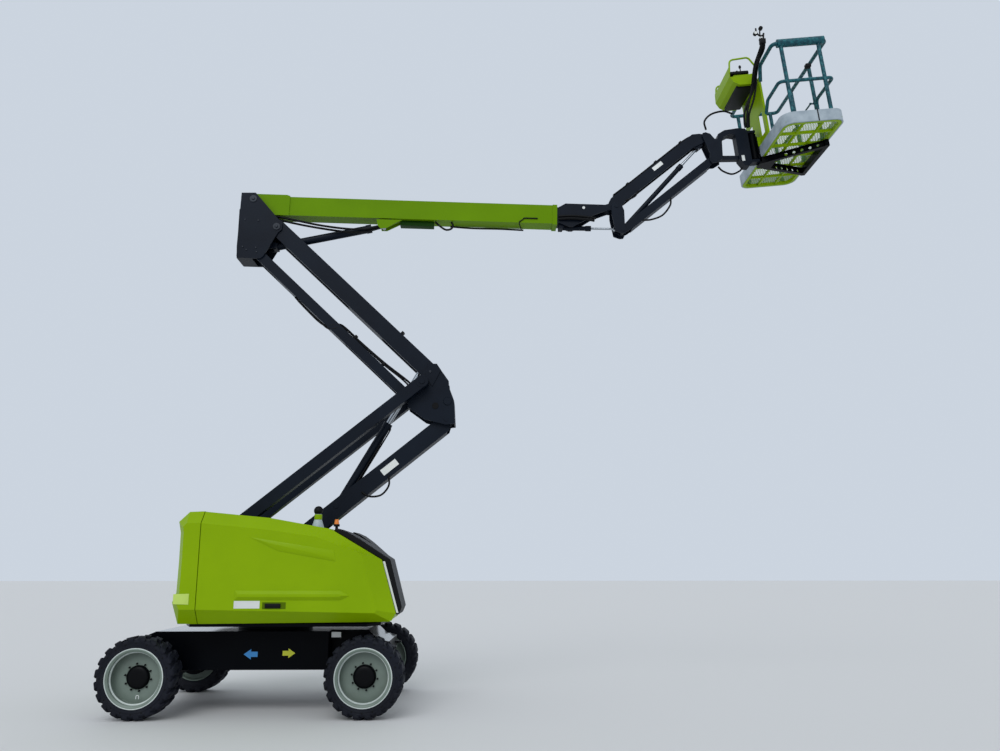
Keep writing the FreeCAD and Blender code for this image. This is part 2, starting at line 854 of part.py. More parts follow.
def cylinder_barrel(base, tip, length, radius, half_eye, eye_radius, pin_radius):
    """Hydraulic barrel with its base eye, aimed from its pin at the rod's pin."""
    angle = bearing(base, tip)
    at = on_line(base, angle)
    start = at(eye_radius * 0.7, 0)
    end = at(length, 0)
    body = bar(vec(start[0], 0, start[1]), vec(end[0], 0, end[1]), radius)
    collar_start = at(length - 70, 0)
    collar = bar(vec(collar_start[0], 0, collar_start[1]), vec(end[0], 0, end[1]), radius + 6)
    bore_start = at(eye_radius * 1.6, 0)
    bore_end = at(length + 1, 0)
    bore = bar(vec(bore_start[0], 0, bore_start[1]), vec(bore_end[0], 0, bore_end[1]), radius - 8)
    foot = pin(base, -half_eye, half_eye, eye_radius)
    shell = union([body, collar, foot]).cut(bore)
    return shell.cut(pin(base, -half_eye - 5, half_eye + 5, pin_radius + pin_gap))


def gland(base, tip, length, radius, rod_radius):
    """Ring at the barrel's mouth that guides the rod."""
    at = on_line(base, bearing(base, tip))
    start = at(length - 30, 0)
    end = at(length - 1, 0)
    ring = bar(vec(start[0], 0, start[1]), vec(end[0], 0, end[1]), radius - 7)
    hole_start = at(length - 31, 0)
    hole_end = at(length + 1, 0)
    hole = bar(vec(hole_start[0], 0, hole_start[1]), vec(hole_end[0], 0, hole_end[1]),
               rod_radius + pin_gap)
    return ring.cut(hole)


def cylinder_rod(base, tip, radius, rod_radius, tail, half_eye, eye_radius):
    """Rod with its piston at a distance tail from the base pin, and its head at the tip."""
    span = distance(base, tip)
    at = on_line(base, bearing(base, tip))
    start = at(tail, 0)
    end = at(span - eye_radius * 0.6, 0)
    rod = bar(vec(start[0], 0, start[1]), vec(end[0], 0, end[1]), rod_radius)
    piston_end = at(tail + 40, 0)
    piston = bar(vec(start[0], 0, start[1]), vec(piston_end[0], 0, piston_end[1]), radius - 8 - pin_gap)
    head = pin(tip, -half_eye, half_eye, eye_radius)
    return union([rod, piston, head])


def riser_barrel():
    body = cylinder_barrel(riser_barrel_pin, riser_rod_pin, riser_barrel_length, riser_barrel_radius,
                           50, 60, 28)
    ring = gland(riser_barrel_pin, riser_rod_pin, riser_barrel_length, riser_barrel_radius,
                 riser_rod_radius)
    return union([body, ring])


def riser_rod():
    return cylinder_rod(riser_barrel_pin, riser_rod_pin, riser_barrel_radius, riser_rod_radius,
                        620, 36, 46)


def upright():
    """Level bracket that carries the primary boom above the riser."""
    cheek = side_plate([
        (-698, 6302), (-516, 6304), (-150, 5880), (-155, 5800), (-201, 5757), (-370, 5440),
        (-410, 5405), (-708, 5412), (-716, 5567),
    ], -cheek_inner_y - cheek_thickness, -cheek_inner_y)
    web = block(-716, -704, -cheek_inner_y - 1, cheek_inner_y + 1, 5440, 6080)
    floor = block(-710, -520, -cheek_inner_y - 1, cheek_inner_y + 1, 5412, 5424)
    lug = side_plate([
        (-708, 5560), (-708, 5700), (boom_barrel_pin[0] - 20, boom_barrel_pin[1] + 42),
        (boom_barrel_pin[0] + 40, boom_barrel_pin[1] + 30),
        (boom_barrel_pin[0] + 40, boom_barrel_pin[1] - 35), (boom_barrel_pin[0] - 30, boom_barrel_pin[1] - 42),
    ], -80, -58)
    pins = [
        pin(upper_top, -cheek_inner_y - 16, -pair_inner_y + 4, riser_pin_radius),
        pin(upper_top, pair_inner_y - 4, cheek_inner_y + 16, riser_pin_radius),
        pin(upper_link_top, -cheek_inner_y - 16, cheek_inner_y + 16, link_pin_radius),
        pin(boom_foot, -cheek_inner_y - 16, cheek_inner_y + 16, boom_pin_radius),
        pin(boom_barrel_pin, -81, 81, 24),
    ]
    return union(both_sides(cheek) + both_sides(lug) + [web, floor] + pins)


def boom():
    main = tube(boom_at, 60, boom_length, boom_low, boom_high, -boom_half_width, boom_half_width, boom_wall)
    foot = side_plate([
        boom_at(-78, -60), boom_at(-40, -150), boom_at(30, boom_low - 6), boom_at(460, boom_low - 6),
        boom_at(460, boom_high + 8), boom_at(420, 88), boom_at(-60, 88), boom_at(-78, 60),
    ], -boom_half_width - 12, -boom_half_width + 1)
    boss = pin(boom_foot, -cheek_inner_y + side_gap, -boom_half_width, 80)
    ear = side_plate([
        boom_at(1630, boom_low + 1), boom_at(1650, -300), boom_at(1720, -300), boom_at(1930, boom_low + 1),
    ], -62, -46)
    collar = tube(boom_at, boom_length - 60, boom_length, boom_low - 14, boom_high + 6,
                  -boom_half_width - 6, boom_half_width + 6, 14)
    parts = [main, collar] + both_sides(foot) + both_sides(boss) + both_sides(ear)
    parts += eye(boom_rod_pin, 44, 66, 26)
    parts += boom_pads()
    body = union(parts)
    return body.cut(pin(boom_foot, -200, 200, boom_pin_radius + pin_gap))


def extension_size():
    """Outer half width and heights of the sliding tube inside the boom."""
    gap = extension_gap
    return (boom_half_width - boom_wall - gap, boom_low + boom_wall + gap, boom_high - boom_wall - gap)


def boom_pads():
    """Wear pads in the boom's mouth that carry the sliding tube."""
    half, low, high = extension_size()
    s0 = boom_length - 120
    s1 = boom_length - 20
    return [
        strip(boom_at, s0, s1, boom_low + boom_wall - 1, low - pad_gap, -60, 60),
        strip(boom_at, s0, s1, high + pad_gap, boom_high - boom_wall + 1, -60, 60),
        strip(boom_at, s0, s1, low + 40, high - 40, -boom_half_width + boom_wall - 1, -half - pad_gap),
        strip(boom_at, s0, s1, low + 40, high - 40, half + pad_gap, boom_half_width - boom_wall + 1),
    ]


def extension_pads():
    half, low, high = extension_size()
    s0 = extension_tail_s
    s1 = extension_tail_s + 100
    inner = boom_half_width - boom_wall - pad_gap
    return [
        strip(boom_at, s0, s1, boom_low + boom_wall + pad_gap, low + 1, -60, 60),
        strip(boom_at, s0, s1, high - 1, boom_high - boom_wall - pad_gap, -60, 60),
        strip(boom_at, s0, s1, low + 40, high - 40, -inner, -half + 1),
        strip(boom_at, s0, s1, low + 40, high - 40, half - 1, inner),
    ]


def extension():
    half, low, high = extension_size()
    inner_tube = tube(boom_at, extension_tail_s, 3994, low, high, -half, half, boom_wall)
    s_pin, h_pin = nose_pin
    plate = side_plate([
        boom_at(3970, -165), boom_at(4116, -215), boom_at(4160, -215), boom_at(4300, -131),
        boom_at(4420, -48), boom_at(4626, 36), boom_at(s_pin + 20, h_pin - 55), boom_at(s_pin + 55, h_pin),
        boom_at(s_pin + 20, h_pin + 55), boom_at(4700, 150), boom_at(4585, 107), boom_at(4060, 107),
        boom_at(3970, 50),
    ], -nose_half_width, -nose_half_width + 16)
    roof = strip(boom_at, 4060, 4600, 97, 107, -nose_half_width + 1, nose_half_width - 1)
    wall = strip(boom_at, 3975, 3990, -160, 60, -nose_half_width + 1, nose_half_width - 1)
    lug = side_plate([
        boom_at(3975, -120), boom_at(3975, -235), boom_at(4025, -235), boom_at(4100, -120),
    ], -62, -40)
    floor = strip(boom_at, 3976, 4040, -150, -135, -nose_half_width + 1, nose_half_width - 1)
    parts = [inner_tube, roof, wall, floor] + both_sides(plate) + both_sides(lug)
    parts.append(pin(level_barrel_pin, -63, 63, 16))
    parts += extension_pads()
    body = union(parts)
    return body.cut(pin(jib_foot, -150, 150, jib_pin_radius + pin_gap))


def boom_barrel():
    body = cylinder_barrel(boom_barrel_pin, boom_rod_pin, boom_barrel_length, boom_barrel_radius,
                           52, 48, 24)
    ring = gland(boom_barrel_pin, boom_rod_pin, boom_barrel_length, boom_barrel_radius, boom_rod_radius)
    return union([body, ring])


def boom_rod():
    return cylinder_rod(boom_barrel_pin, boom_rod_pin, boom_barrel_radius, boom_rod_radius,
                        110, 40, 42)


def level_barrel():
    body = cylinder_barrel(level_barrel_pin, level_rod_pin, level_barrel_length, 30, 34, 30, 16)
    ring = gland(level_barrel_pin, level_rod_pin, level_barrel_length, 30, 14)
    return union([body, ring])


def level_rod():
    return cylinder_rod(level_barrel_pin, level_rod_pin, 30, 14, 318, 32, 28)


def jib_bracket():
    """Level bracket at the end of the extension that carries the jib."""
    x, z = jib_foot
    outline = [
        (-66, 20), (-40, 52), (10, 60), (60, 34), (100, -60), (104, -270), (130, -335),
        (110, -376), (60, -380), (-20, -350), (-66, -120),
    ]
    cheek = side_plate([(x + dx, z + dz) for dx, dz in outline], -nose_half_width - 21, -nose_half_width - 6)
    lug_outline = [
        (-38, -300), (-30, -262), (20, -246), (80, -235), (110, -222), (148, -245), (145, -285),
        (100, -345), (60, -350), (-20, -312),
    ]
    lug = side_plate([(x + dx, z + dz) for dx, dz in lug_outline], -56, -38)
    pins = [
        pin(jib_foot, -nose_half_width - 28, nose_half_width + 28, jib_pin_radius),
        pin(jib_link_foot, -nose_half_width - 24, nose_half_width + 24, jib_pin_radius),
        pin(jib_barrel_pin, -57, 57, 18),
    ]
    caps = eye(level_rod_pin, 36, 60, 20)
    return union(both_sides(cheek) + both_sides(lug) + pins + caps)


def jib_arm():
    outline = [
        (-46, -25), (0, -46), (70, -40), (130, jib_low), (1380, jib_low), (1500, -44), (1600, -46),
        (1648, -20), (1640, 10), (1572, 85), (1490, jib_high), (30, jib_high), (-30, 110), (-60, 50),
    ]
    wall = 5
    body = side_plate([jib_at(s, h) for s, h in outline], -jib_half_width, jib_half_width)
    hollow = [
        (110, jib_low + wall), (1430, jib_low + wall), (1430, jib_high - wall), (110, jib_high - wall),
    ]
    body = body.cut(side_plate([jib_at(s, h) for s, h in hollow], -jib_half_width + wall,
                               jib_half_width - wall))
    mouth = side_plate([jib_at(s, h) for s, h in ((1290, -60), (1700, -60), (1700, 60), (1520, 96), (1310, 96))],
                       -jib_half_width + 20, jib_half_width - 20)
    heel = side_plate([jib_at(s, h) for s, h in ((-80, -60), (60, -60), (60, 55), (-80, 55))],
                      -jib_half_width + 20, jib_half_width - 20)
    channel = strip(jib_at, 111, 1305, jib_low - 2, jib_low + wall + 1, -jib_half_width + 20,
                    jib_half_width - 20)
    lug = side_plate([jib_at(s, h) for s, h in ((1390, 0), (1410, -70), (1500, -70), (1540, 0))], -46, -24)
    bosses = eye(jib_foot, jib_half_width - 20, jib_half_width + 4, 44)
    bosses += eye(jib_top, jib_half_width - 20, jib_half_width + 4, 40)
    body = union([body.cut(union([mouth, heel, channel]))] + both_sides(lug) + bosses)
    body = union([body] + eye(jib_rod_pin, 23, 50, 18))
    for place in (jib_foot, jib_top):
        body = body.cut(pin(place, -200, 200, jib_pin_radius + pin_gap))
    return body


def jib_link():
    h = jib_link_half_height
    wall = 10
    end = jib_length
    outline = [
        (-28, -25), (60, -h + 8), (end - 60, -h + 8), (end + 28, -25),
        (end + 28, 25), (end - 60, h - 6), (60, h - 6), (-28, 25),
    ]
    parts = both_sides(side_plate([jib_link_at(*p) for p in outline], jib_link_y - wall, jib_link_y))
    parts.append(strip(jib_link_at, 110, jib_length - 110, -h, -h + 8, -jib_link_y, jib_link_y))
    parts.append(strip(jib_link_at, 110, jib_length - 110, -h + 7, -h + 9, -jib_link_y, jib_link_y))
    for s in (0, jib_length):
        parts += eye(jib_link_at(s, 0), jib_link_y - wall, jib_link_y + 4, 36)
    body = union(parts)
    for s in (0, jib_length):
        body = body.cut(pin(jib_link_at(s, 0), -200, 200, jib_pin_radius + pin_gap))
    return body


def jib_barrel():
    body = cylinder_barrel(jib_barrel_pin, jib_rod_pin, jib_barrel_length, jib_barrel_radius, 34, 34, 18)
    ring = gland(jib_barrel_pin, jib_rod_pin, jib_barrel_length, jib_barrel_radius, jib_rod_radius)
    return union([body, ring])


def jib_rod():
    return cylinder_rod(jib_barrel_pin, jib_rod_pin, jib_barrel_radius, jib_rod_radius,
                        340, 20, 28)


def jib_head():
    """Level head of the jib, with the hooked arm that holds the platform's rotator."""
    x, z = jib_top
    outline = [
        (-48, 0), (-40, 38), (0, 50), (60, 30), (120, -45), (215, -60), (215, -330),
        (130, -385), (60, -392), (38, -360), (45, -250), (-10, -110),
    ]
    cheek = side_plate([(x + dx, z + dz) for dx, dz in outline], -97, -83)
    pins = [
        pin(jib_top, -98, 98, jib_pin_radius),
        pin(jib_link_top, -98, 98, jib_pin_radius),
    ]
    block_part = block(x + 145, x + 215, -84, 84, z - 300, z - 70)
    hook = side_plate([
        (x + 150, z - 90), (x + 175, z + 40), (x + 260, z + 96), (x + 440, z + 128),
        platform_point(-560, 430), platform_point(-530, 400), platform_point(-530, 300),
        platform_point(-640, 340), (x + 330, z + 45), (x + 250, z + 5), (x + 214, z - 90),
    ], -72, 72)
    post = side_plate([
        platform_point(-700, 370), platform_point(-640, 430), platform_point(-560, 430),
        platform_point(-530, 400), platform_point(-530, -60), platform_point(-580, -110),
        platform_point(-640, -100), platform_point(-700, 0),
    ], -72, 72)
    strut = side_plate([
        (x + 200, z - 320), (x + 200, z - 262), platform_point(-690, 60), platform_point(-690, 5),
    ], -40, 40)
    end_x = rotator_x + shelf_out
    shelf_top = side_plate([platform_point(*p) for p in (
        (-560, 400), (end_x, 400), (end_x, 370), (-560, 370))], -shelf_half_width, shelf_half_width)
    shelf_low = side_plate([platform_point(*p) for p in (
        (-560, -20), (end_x, -20), (end_x, -60), (-560, -60))], -shelf_half_width, shelf_half_width)
    stem = bar(platform_axis(-50), platform_axis(390), 26)
    return union(both_sides(cheek) + pins + [block_part, hook, post, strut, shelf_top, shelf_low, stem])


def platform_axis(z):
    """Point of the rotator's axis at a height in the platform's frame."""
    x, height = platform_point(rotator_x, z)
    return vec(x, 0, height)


def rotator():
    """Turning part of the rotator with the black frame that carries the platform."""
    drum = Part.makeCylinder(rotator_radius, 364, vec(rotator_x, 0, -8))
    drum = drum.cut(Part.makeCylinder(26 + pin_gap, 400, vec(rotator_x, 0, -20)))
    flange = block(rotator_x + 26, flange_face, -flange_half_width, flange_half_width, 60, 300)
    flange = flange.cut(Part.makeCylinder(26 + pin_gap, 400, vec(rotator_x, 0, -20)))
    neck = plan_plate([
        (rotator_x + 30, -70), (rotator_x + 230, -150), (rotator_x + 230, 150), (rotator_x + 30, 70),
    ], -96, -8)
    neck = neck.cut(Part.makeCylinder(26 + pin_gap, 400, vec(rotator_x, 0, -120)))
    hub = block(rotator_x + 24, -floor_width / 2 - 5, -70, 70, -96, 40)
    hub = hub.cut(Part.makeCylinder(26 + pin_gap, 400, vec(rotator_x, 0, -120)))
    arms = []
    for side in (-1, 1):
        start = vec(rotator_x + 150, side * 95, -52)
        end = vec(support_end_x, side * support_end_y, -52)
        arms.append(holed_arm(start, end))
    cross = block(support_end_x - 30, support_end_x + 30, -support_end_y - 30, support_end_y + 30, -96, -4)
    cross_hollow = block(support_end_x - 22, support_end_x + 22, -support_end_y - 22, support_end_y + 22,
                         -88, 0)
    cross = cross.cut(cross_hollow)
    shelf_gap = block(rotator_x - 80, rotator_x + 72, -76, 76, -68, -12)
    body = union([drum, flange, neck, hub] + arms + [cross])
    return on_platform(body.cut(shelf_gap).cut(Part.makeCylinder(100, 60, vec(rotator_x, 0, -70))))


support_end_x = 340
support_end_y = 420
support_half_height = 44
support_hole_radius = 20


def holed_arm(start, end):
    """Upright plate of a support arm with its row of round holes and an edge flange."""
    run = end - start
    length = run.Length
    web = block(0, length, -6, 6, -support_half_height, support_half_height)
    for k in range(5):
        hole = Part.makeCylinder(support_hole_radius, 40, vec(length * (0.3 + 0.14 * k), -20, 0), vec(0, 1, 0))
        web = web.cut(hole)
    top = block(0, length, -28, 28, support_half_height - 8, support_half_height)
    low = block(0, length, -28, 28, -support_half_height, -support_half_height + 8)
    arm = union([web, top, low])
    arm.rotate(vec(0, 0, 0), vec(0, 0, 1), math.degrees(math.atan2(run.y, run.x)))
    arm.translate(start)
    return arm


def platform_floor():
    """Framed floor: a rim, cross bars and a thin tread sheet."""
    half_x = floor_width / 2 - board_thickness - 1
    half_y = floor_length / 2 - board_thickness - 1
    corner = floor_corner - board_thickness
    rim_part = box_ring(-half_x, half_x, -half_y, half_y, 0, floor_height, corner)
    inner = box_ring(-half_x + 40, half_x - 40, -half_y + 40, half_y - 40, -1, floor_height - 5,
                     corner - 40)
    frame = rim_part.cut(inner)
    bars = [block(x - 12, x + 12, -half_y + 20, half_y - 20, 8, floor_height - 4) for x in (-125, 125)]
    bars += [block(-half_x + 20, half_x - 20, y - 12, y + 12, 4, floor_height - 4)
             for y in (-640, -320, 0, 320, 640)]
    rest = block(support_end_x - 29, support_end_x + 29, -support_end_y, support_end_y, -3.7, 5)
    return on_platform(union([frame, rest] + bars))


def toe_board():
    """Pale band around the floor's edge."""
    half_x = floor_width / 2
    half_y = floor_length / 2
    outer = box_ring(-half_x, half_x, -half_y, half_y, 3, 3 + board_height, floor_corner)
    inner = box_ring(-half_x + board_thickness, half_x - board_thickness,
                     -half_y + board_thickness, half_y - board_thickness, 0, board_height + 10,
                     floor_corner - board_thickness)
    return on_platform(outer.cut(inner))


rail_middle = 600
post_share = 0.7
panel_half_width = 362
panel_top = rail_height - 130
flange_face = -floor_width / 2 - 14
pad_radius = 52


def rail_place():
    """Half spans of the rails along X and Y."""
    return floor_width / 2 - rail_inset, floor_length / 2 - rail_inset


def beside_panel(tube_part):
    """Cuts a rail off square where it meets the panel's edge."""
    x1, y1 = rail_place()
    edge = panel_half_width + seat_gap
    return tube_part.cut(block(-x1 - 60, -x1 + 60, -edge, edge, 0, rail_height + 100))


def top_loop(grow):
    """The top rail and its pad, with their radii grown by a clearance."""
    x1, y1 = rail_place()
    top = rail_height
    loop = bent_tube([
        vec(-x1, -350, top - 190), vec(-x1, -430, top), vec(-x1, -y1, top), vec(x1, -y1, top),
        vec(x1, y1, top), vec(-x1, y1, top), vec(-x1, 430, top), vec(-x1, 350, top - 190),
    ], rail_radius + grow, 60)
    pad = bar(vec(-x1 + 60 - grow, -y1, top), vec(x1 - 30 + grow, -y1, top), pad_radius + grow)
    return loop.fuse(pad)


def top_rail():
    """Top rail round the platform, with the thick pad on the near end."""
    return on_platform(beside_panel(top_loop(0)))


def mid_rail(side):
    """Middle rail of one end, with the end's two posts and the post beside the entry."""
    x1, y1 = rail_place()
    foot = floor_height + seat_gap
    rail = bent_tube([
        vec(-x1, side * 350, rail_middle - 130), vec(-x1, side * 480, rail_middle),
        vec(-x1, side * y1, rail_middle), vec(x1, side * y1, rail_middle), vec(x1, side * 370, rail_middle),
        vec(x1, side * 330, foot + 4),
    ], rail_radius - 3, 60)
    posts = [bar(vec(share * x1, side * y1, foot), vec(share * x1, side * y1, rail_height), rail_radius)
             for share in (-post_share, post_share)]
    posts.append(bar(vec(x1, side * 330, foot), vec(x1, side * 330, rail_height), rail_radius))
    extra = entry_carrier() if side < 0 else []
    return on_platform(union([beside_panel(rail)] + posts + extra).cut(top_loop(seat_gap)))


def mount_panel():
    """Upright sheet panel on the boom side that joins the rails to the rotator."""
    x = -floor_width / 2 + rail_inset
    half = panel_half_width
    panel = block(x - 25, x + 4, -half, half, floor_height + 8, panel_top)
    pocket = block(x - 12, x + 10, -half + 32, half - 32, floor_height + 40, panel_top - 40)
    windows = [block(x - 40, x + 10, side * 200 - 70, side * 200 + 70, 260, 560) for side in (-1, 1)]
    panel = panel.cut(union([pocket] + windows))
    tabs = [block(x - 25, x + 30, side * 350 - 8, side * 350 + 8, floor_height + seat_gap, 120)
            for side in (-1, 1)]
    tabs += [block(flange_face + seat_gap, x + 4, side * (flange_half_width - 12) - 12,
                   side * (flange_half_width - 12) + 12, board_height + 5, 290) for side in (-1, 1)]
    return on_platform(union([panel] + tabs))


entry_height = 600
entry_hinge_y = -280
entry_pin_radius = 7
entry_inset = 44


def entry_carrier():
    """Pin of the entry bar and the ear that holds it on the post."""
    x1 = floor_width / 2 - rail_inset
    ear = block(x1 - 14, x1 - 4, -320, entry_hinge_y + 12, entry_height - 12, entry_height + 12)
    axle = bar(vec(x1 - entry_inset - 18, entry_hinge_y, entry_height),
               vec(x1 - 5, entry_hinge_y, entry_height), entry_pin_radius)
    return [ear, axle]


def entry_bar():
    """Mid rail bar across the entry, hinged near one post so that it lifts."""
    x1 = floor_width / 2 - rail_inset - entry_inset
    tube_part = bar(vec(x1, entry_hinge_y + 10, entry_height), vec(x1, 294, entry_height), 11)
    boss = bar(vec(x1 - 12, entry_hinge_y, entry_height), vec(x1 + 12, entry_hinge_y, entry_height), 15)
    bore = bar(vec(x1 - 30, entry_hinge_y, entry_height), vec(x1 + 30, entry_hinge_y, entry_height),
               entry_pin_radius + pin_gap)
    return on_platform(union([tube_part, boss]).cut(bore))


def console():
    """Control box with its bent sheet shroud and hoop handles, outside the rails."""
    x0 = -745
    x1 = -390
    low = 926
    high = 1176
    sheet = 6
    outline = [
        (x0 + 10, high + 20), (x0, high - 120), (x0 + 40, low + 50), (x0 + 120, low),
        (x1 - 80, low), (x1 - 10, low + 50), (x1, low + 110),
        (x1 - sheet, low + 110), (x1 - 16, low + 56), (x1 - 84, low + sheet),
        (x0 + 123, low + sheet), (x0 + 46, low + 54), (x0 + sheet, high - 120), (x0 + 16, high + 20),
    ]
    parts = [side_plate(outline, -350, 350)]
    for side in (-1, 1):
        y = side * 330
        parts.append(bent_tube([
            vec(x0 + 12, y, high - 60), vec(x0 + 40, y, high + 130), vec(x1 - 60, y, high + 150),
            vec(x1 + 15, y, high + 20), vec(x1 - 2, y, low + 60),
        ], 12, 60))
        parts.append(side_plate([
            (x0 + 3, high - 120), (x0 + 43, low + 52), (x0 + 121, low + 3), (x1 - 82, low + 3),
            (x1 - 13, low + 53), (x1 - 3, low + 100), (x1 - 3, high - 90),
        ], y - 4, y + 4))
    box = block(x0 + 110, x1 - 10, -200, 200, low + 60, high - 20)
    arm = block(x1 - 40, -floor_width / 2 + rail_inset - 25, -60, 60, low + 15, low + 70)
    posts = [bar(vec(x1 - 60 - k * 55, -90 + k * 90, high - 30), vec(x1 - 60 - k * 55, -90 + k * 90, high + 70), 11)
             for k in range(3)]
    return on_platform(union(parts + [box, arm] + posts))


def nodes():
    """Every piece by its plain name."""
    shapes = {}
    shapes["chassis_frame"] = chassis_frame()
    shapes["chassis_nose"] = chassis_nose()
    shapes["axles"] = Part.makeCompound([drive_axle(), steer_axle()])
    for name, x, side in wheel_table:
        shapes["tyre_" + name] = tyre(x, side)
        shapes["rim_" + name] = rim(x, side)
    for name, side in (("near", -1), ("far", 1)):
        shapes["steer_knuckle_" + name] = steer_knuckle(side)
        shapes["hood_" + name] = hood(side)
        shapes["front_guard_" + name] = front_guard(side)
        shapes["mid_rail_" + name] = mid_rail(side)
    shapes["turret_frame"] = turret_frame()
    shapes["tail_cover"] = tail_cover()
    shapes["counterweight"] = counterweight()
    shapes["engine_block"] = engine_block()
    shapes["beacon"] = beacon()
    shapes["signal_post"] = signal_post()
    for make in (lower_arm, lower_link, riser_barrel, riser_rod, knuckle, upper_arm, upper_link,
                 upright, boom, boom_barrel, boom_rod, extension, level_barrel, level_rod,
                 jib_bracket, jib_arm, jib_link, jib_barrel, jib_rod, jib_head, rotator,
                 platform_floor, toe_board, top_rail, mount_panel, entry_bar, console):
        shapes[make.__name__] = make()
    return shapes


# Wheels: name, axle place along X, side of the machine
wheel_table = [
    ("back_near", -axle_x, -1),
    ("back_far", -axle_x, 1),
    ("front_near", axle_x, -1),
    ("front_far", axle_x, 1),
]


def write_parts():
    os.makedirs("parts", exist_ok=True)
    for name, shape in nodes().items():
        shape.translate(vec(slew_x, 0, 0))
        shape.exportStep("parts/" + name + ".step")


write_parts()
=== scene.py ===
"""Looks of an articulating boom lift: finishes, tyres, hoses, plates and small fittings.

Metres. X from the tail to the platform, Y across, Z up from the floor; the side in the photograph
is -Y. Places given from the slewing axis are moved along X by slew_x.
"""

import math

import bpy
import numpy as np
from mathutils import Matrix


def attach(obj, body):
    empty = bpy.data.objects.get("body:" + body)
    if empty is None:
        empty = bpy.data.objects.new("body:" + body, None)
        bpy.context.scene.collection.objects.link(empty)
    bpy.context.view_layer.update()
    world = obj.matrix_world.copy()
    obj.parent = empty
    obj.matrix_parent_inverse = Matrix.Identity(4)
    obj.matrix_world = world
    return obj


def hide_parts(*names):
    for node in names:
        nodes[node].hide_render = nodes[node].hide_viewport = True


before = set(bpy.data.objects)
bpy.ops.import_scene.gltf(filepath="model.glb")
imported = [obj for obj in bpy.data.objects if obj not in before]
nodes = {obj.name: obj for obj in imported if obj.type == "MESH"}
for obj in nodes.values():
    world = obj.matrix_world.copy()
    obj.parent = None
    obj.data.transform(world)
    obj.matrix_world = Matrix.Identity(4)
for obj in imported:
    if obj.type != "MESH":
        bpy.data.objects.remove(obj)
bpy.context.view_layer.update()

# Driving places, the same as the construction's
slew_x = -2.680
axle_x = 1.195
axle_z = 0.424
wheel_y = 0.995
lug_count = 20
lug_pitch = 2 * math.pi / lug_count
chassis_face = -0.690
hood_side_y = 1.120
guard_face = -0.965
pin_face = -0.176
knuckle_face = -0.1765
board_half_length = 0.975
rail_inset = 0.053

# The far hood is shorter ahead of the bend by this share
hood_bend = 0.8
far_hood_share = 0.753

# Photograph's frame and the camera that matches it
image_width = 1000
focal_pixels = 862.0
sensor_width = 36.0
camera_place = (-0.255, -10.690, 1.640)
camera_pitch = 12.07
camera_yaw = -1.26


def node_tree(material):
    material.use_nodes = True
    tree = material.node_tree
    tree.nodes.clear()
    return tree


def linear(colour):
    """Linear colour of an sRGB one given as 0 to 255."""
    share = np.array(colour, float) / 255
    low = share / 12.92
    high = ((share + 0.055) / 1.055) ** 2.4
    return tuple(np.where(share <= 0.04045, low, high)) + (1.0,)


def noise(tree, place, scale, detail=4.0, roughness=0.55):
    node = tree.nodes.new("ShaderNodeTexNoise")
    node.inputs["Scale"].default_value = scale
    node.inputs["Detail"].default_value = detail
    node.inputs["Roughness"].default_value = roughness
    tree.links.new(place, node.inputs["Vector"])
    return node.outputs["Fac"]


def ramp(tree, value, stops):
    """Colour ramp from (position, sRGB colour) stops."""
    node = tree.nodes.new("ShaderNodeValToRGB")
    ends = node.color_ramp.elements
    while len(ends) < len(stops):
        ends.new(0.5)
    for element, (position, colour) in zip(ends, stops):
        element.position = position
        element.color = linear(colour)
    tree.links.new(value, node.inputs["Fac"])
    return node.outputs["Color"]


def remap(tree, value, low, high, new_low, new_high):
    node = tree.nodes.new("ShaderNodeMapRange")
    for name, number in (("From Min", low), ("From Max", high), ("To Min", new_low), ("To Max", new_high)):
        node.inputs[name].default_value = number
    tree.links.new(value, node.inputs["Value"])
    return node.outputs["Result"]


def mixed(tree, share, first, second):
    node = tree.nodes.new("ShaderNodeMix")
    node.data_type = "RGBA"
    tree.links.new(share, node.inputs["Factor"])
    tree.links.new(first, node.inputs["A"])
    if isinstance(second, tuple):
        node.inputs["B"].default_value = second
    else:
        tree.links.new(second, node.inputs["B"])
    return node.outputs["Result"]


def bumped(tree, height, strength, distance):
    node = tree.nodes.new("ShaderNodeBump")
    node.inputs["Strength"].default_value = strength
    node.inputs["Distance"].default_value = distance
    tree.links.new(height, node.inputs["Height"])
    return node.outputs["Normal"]


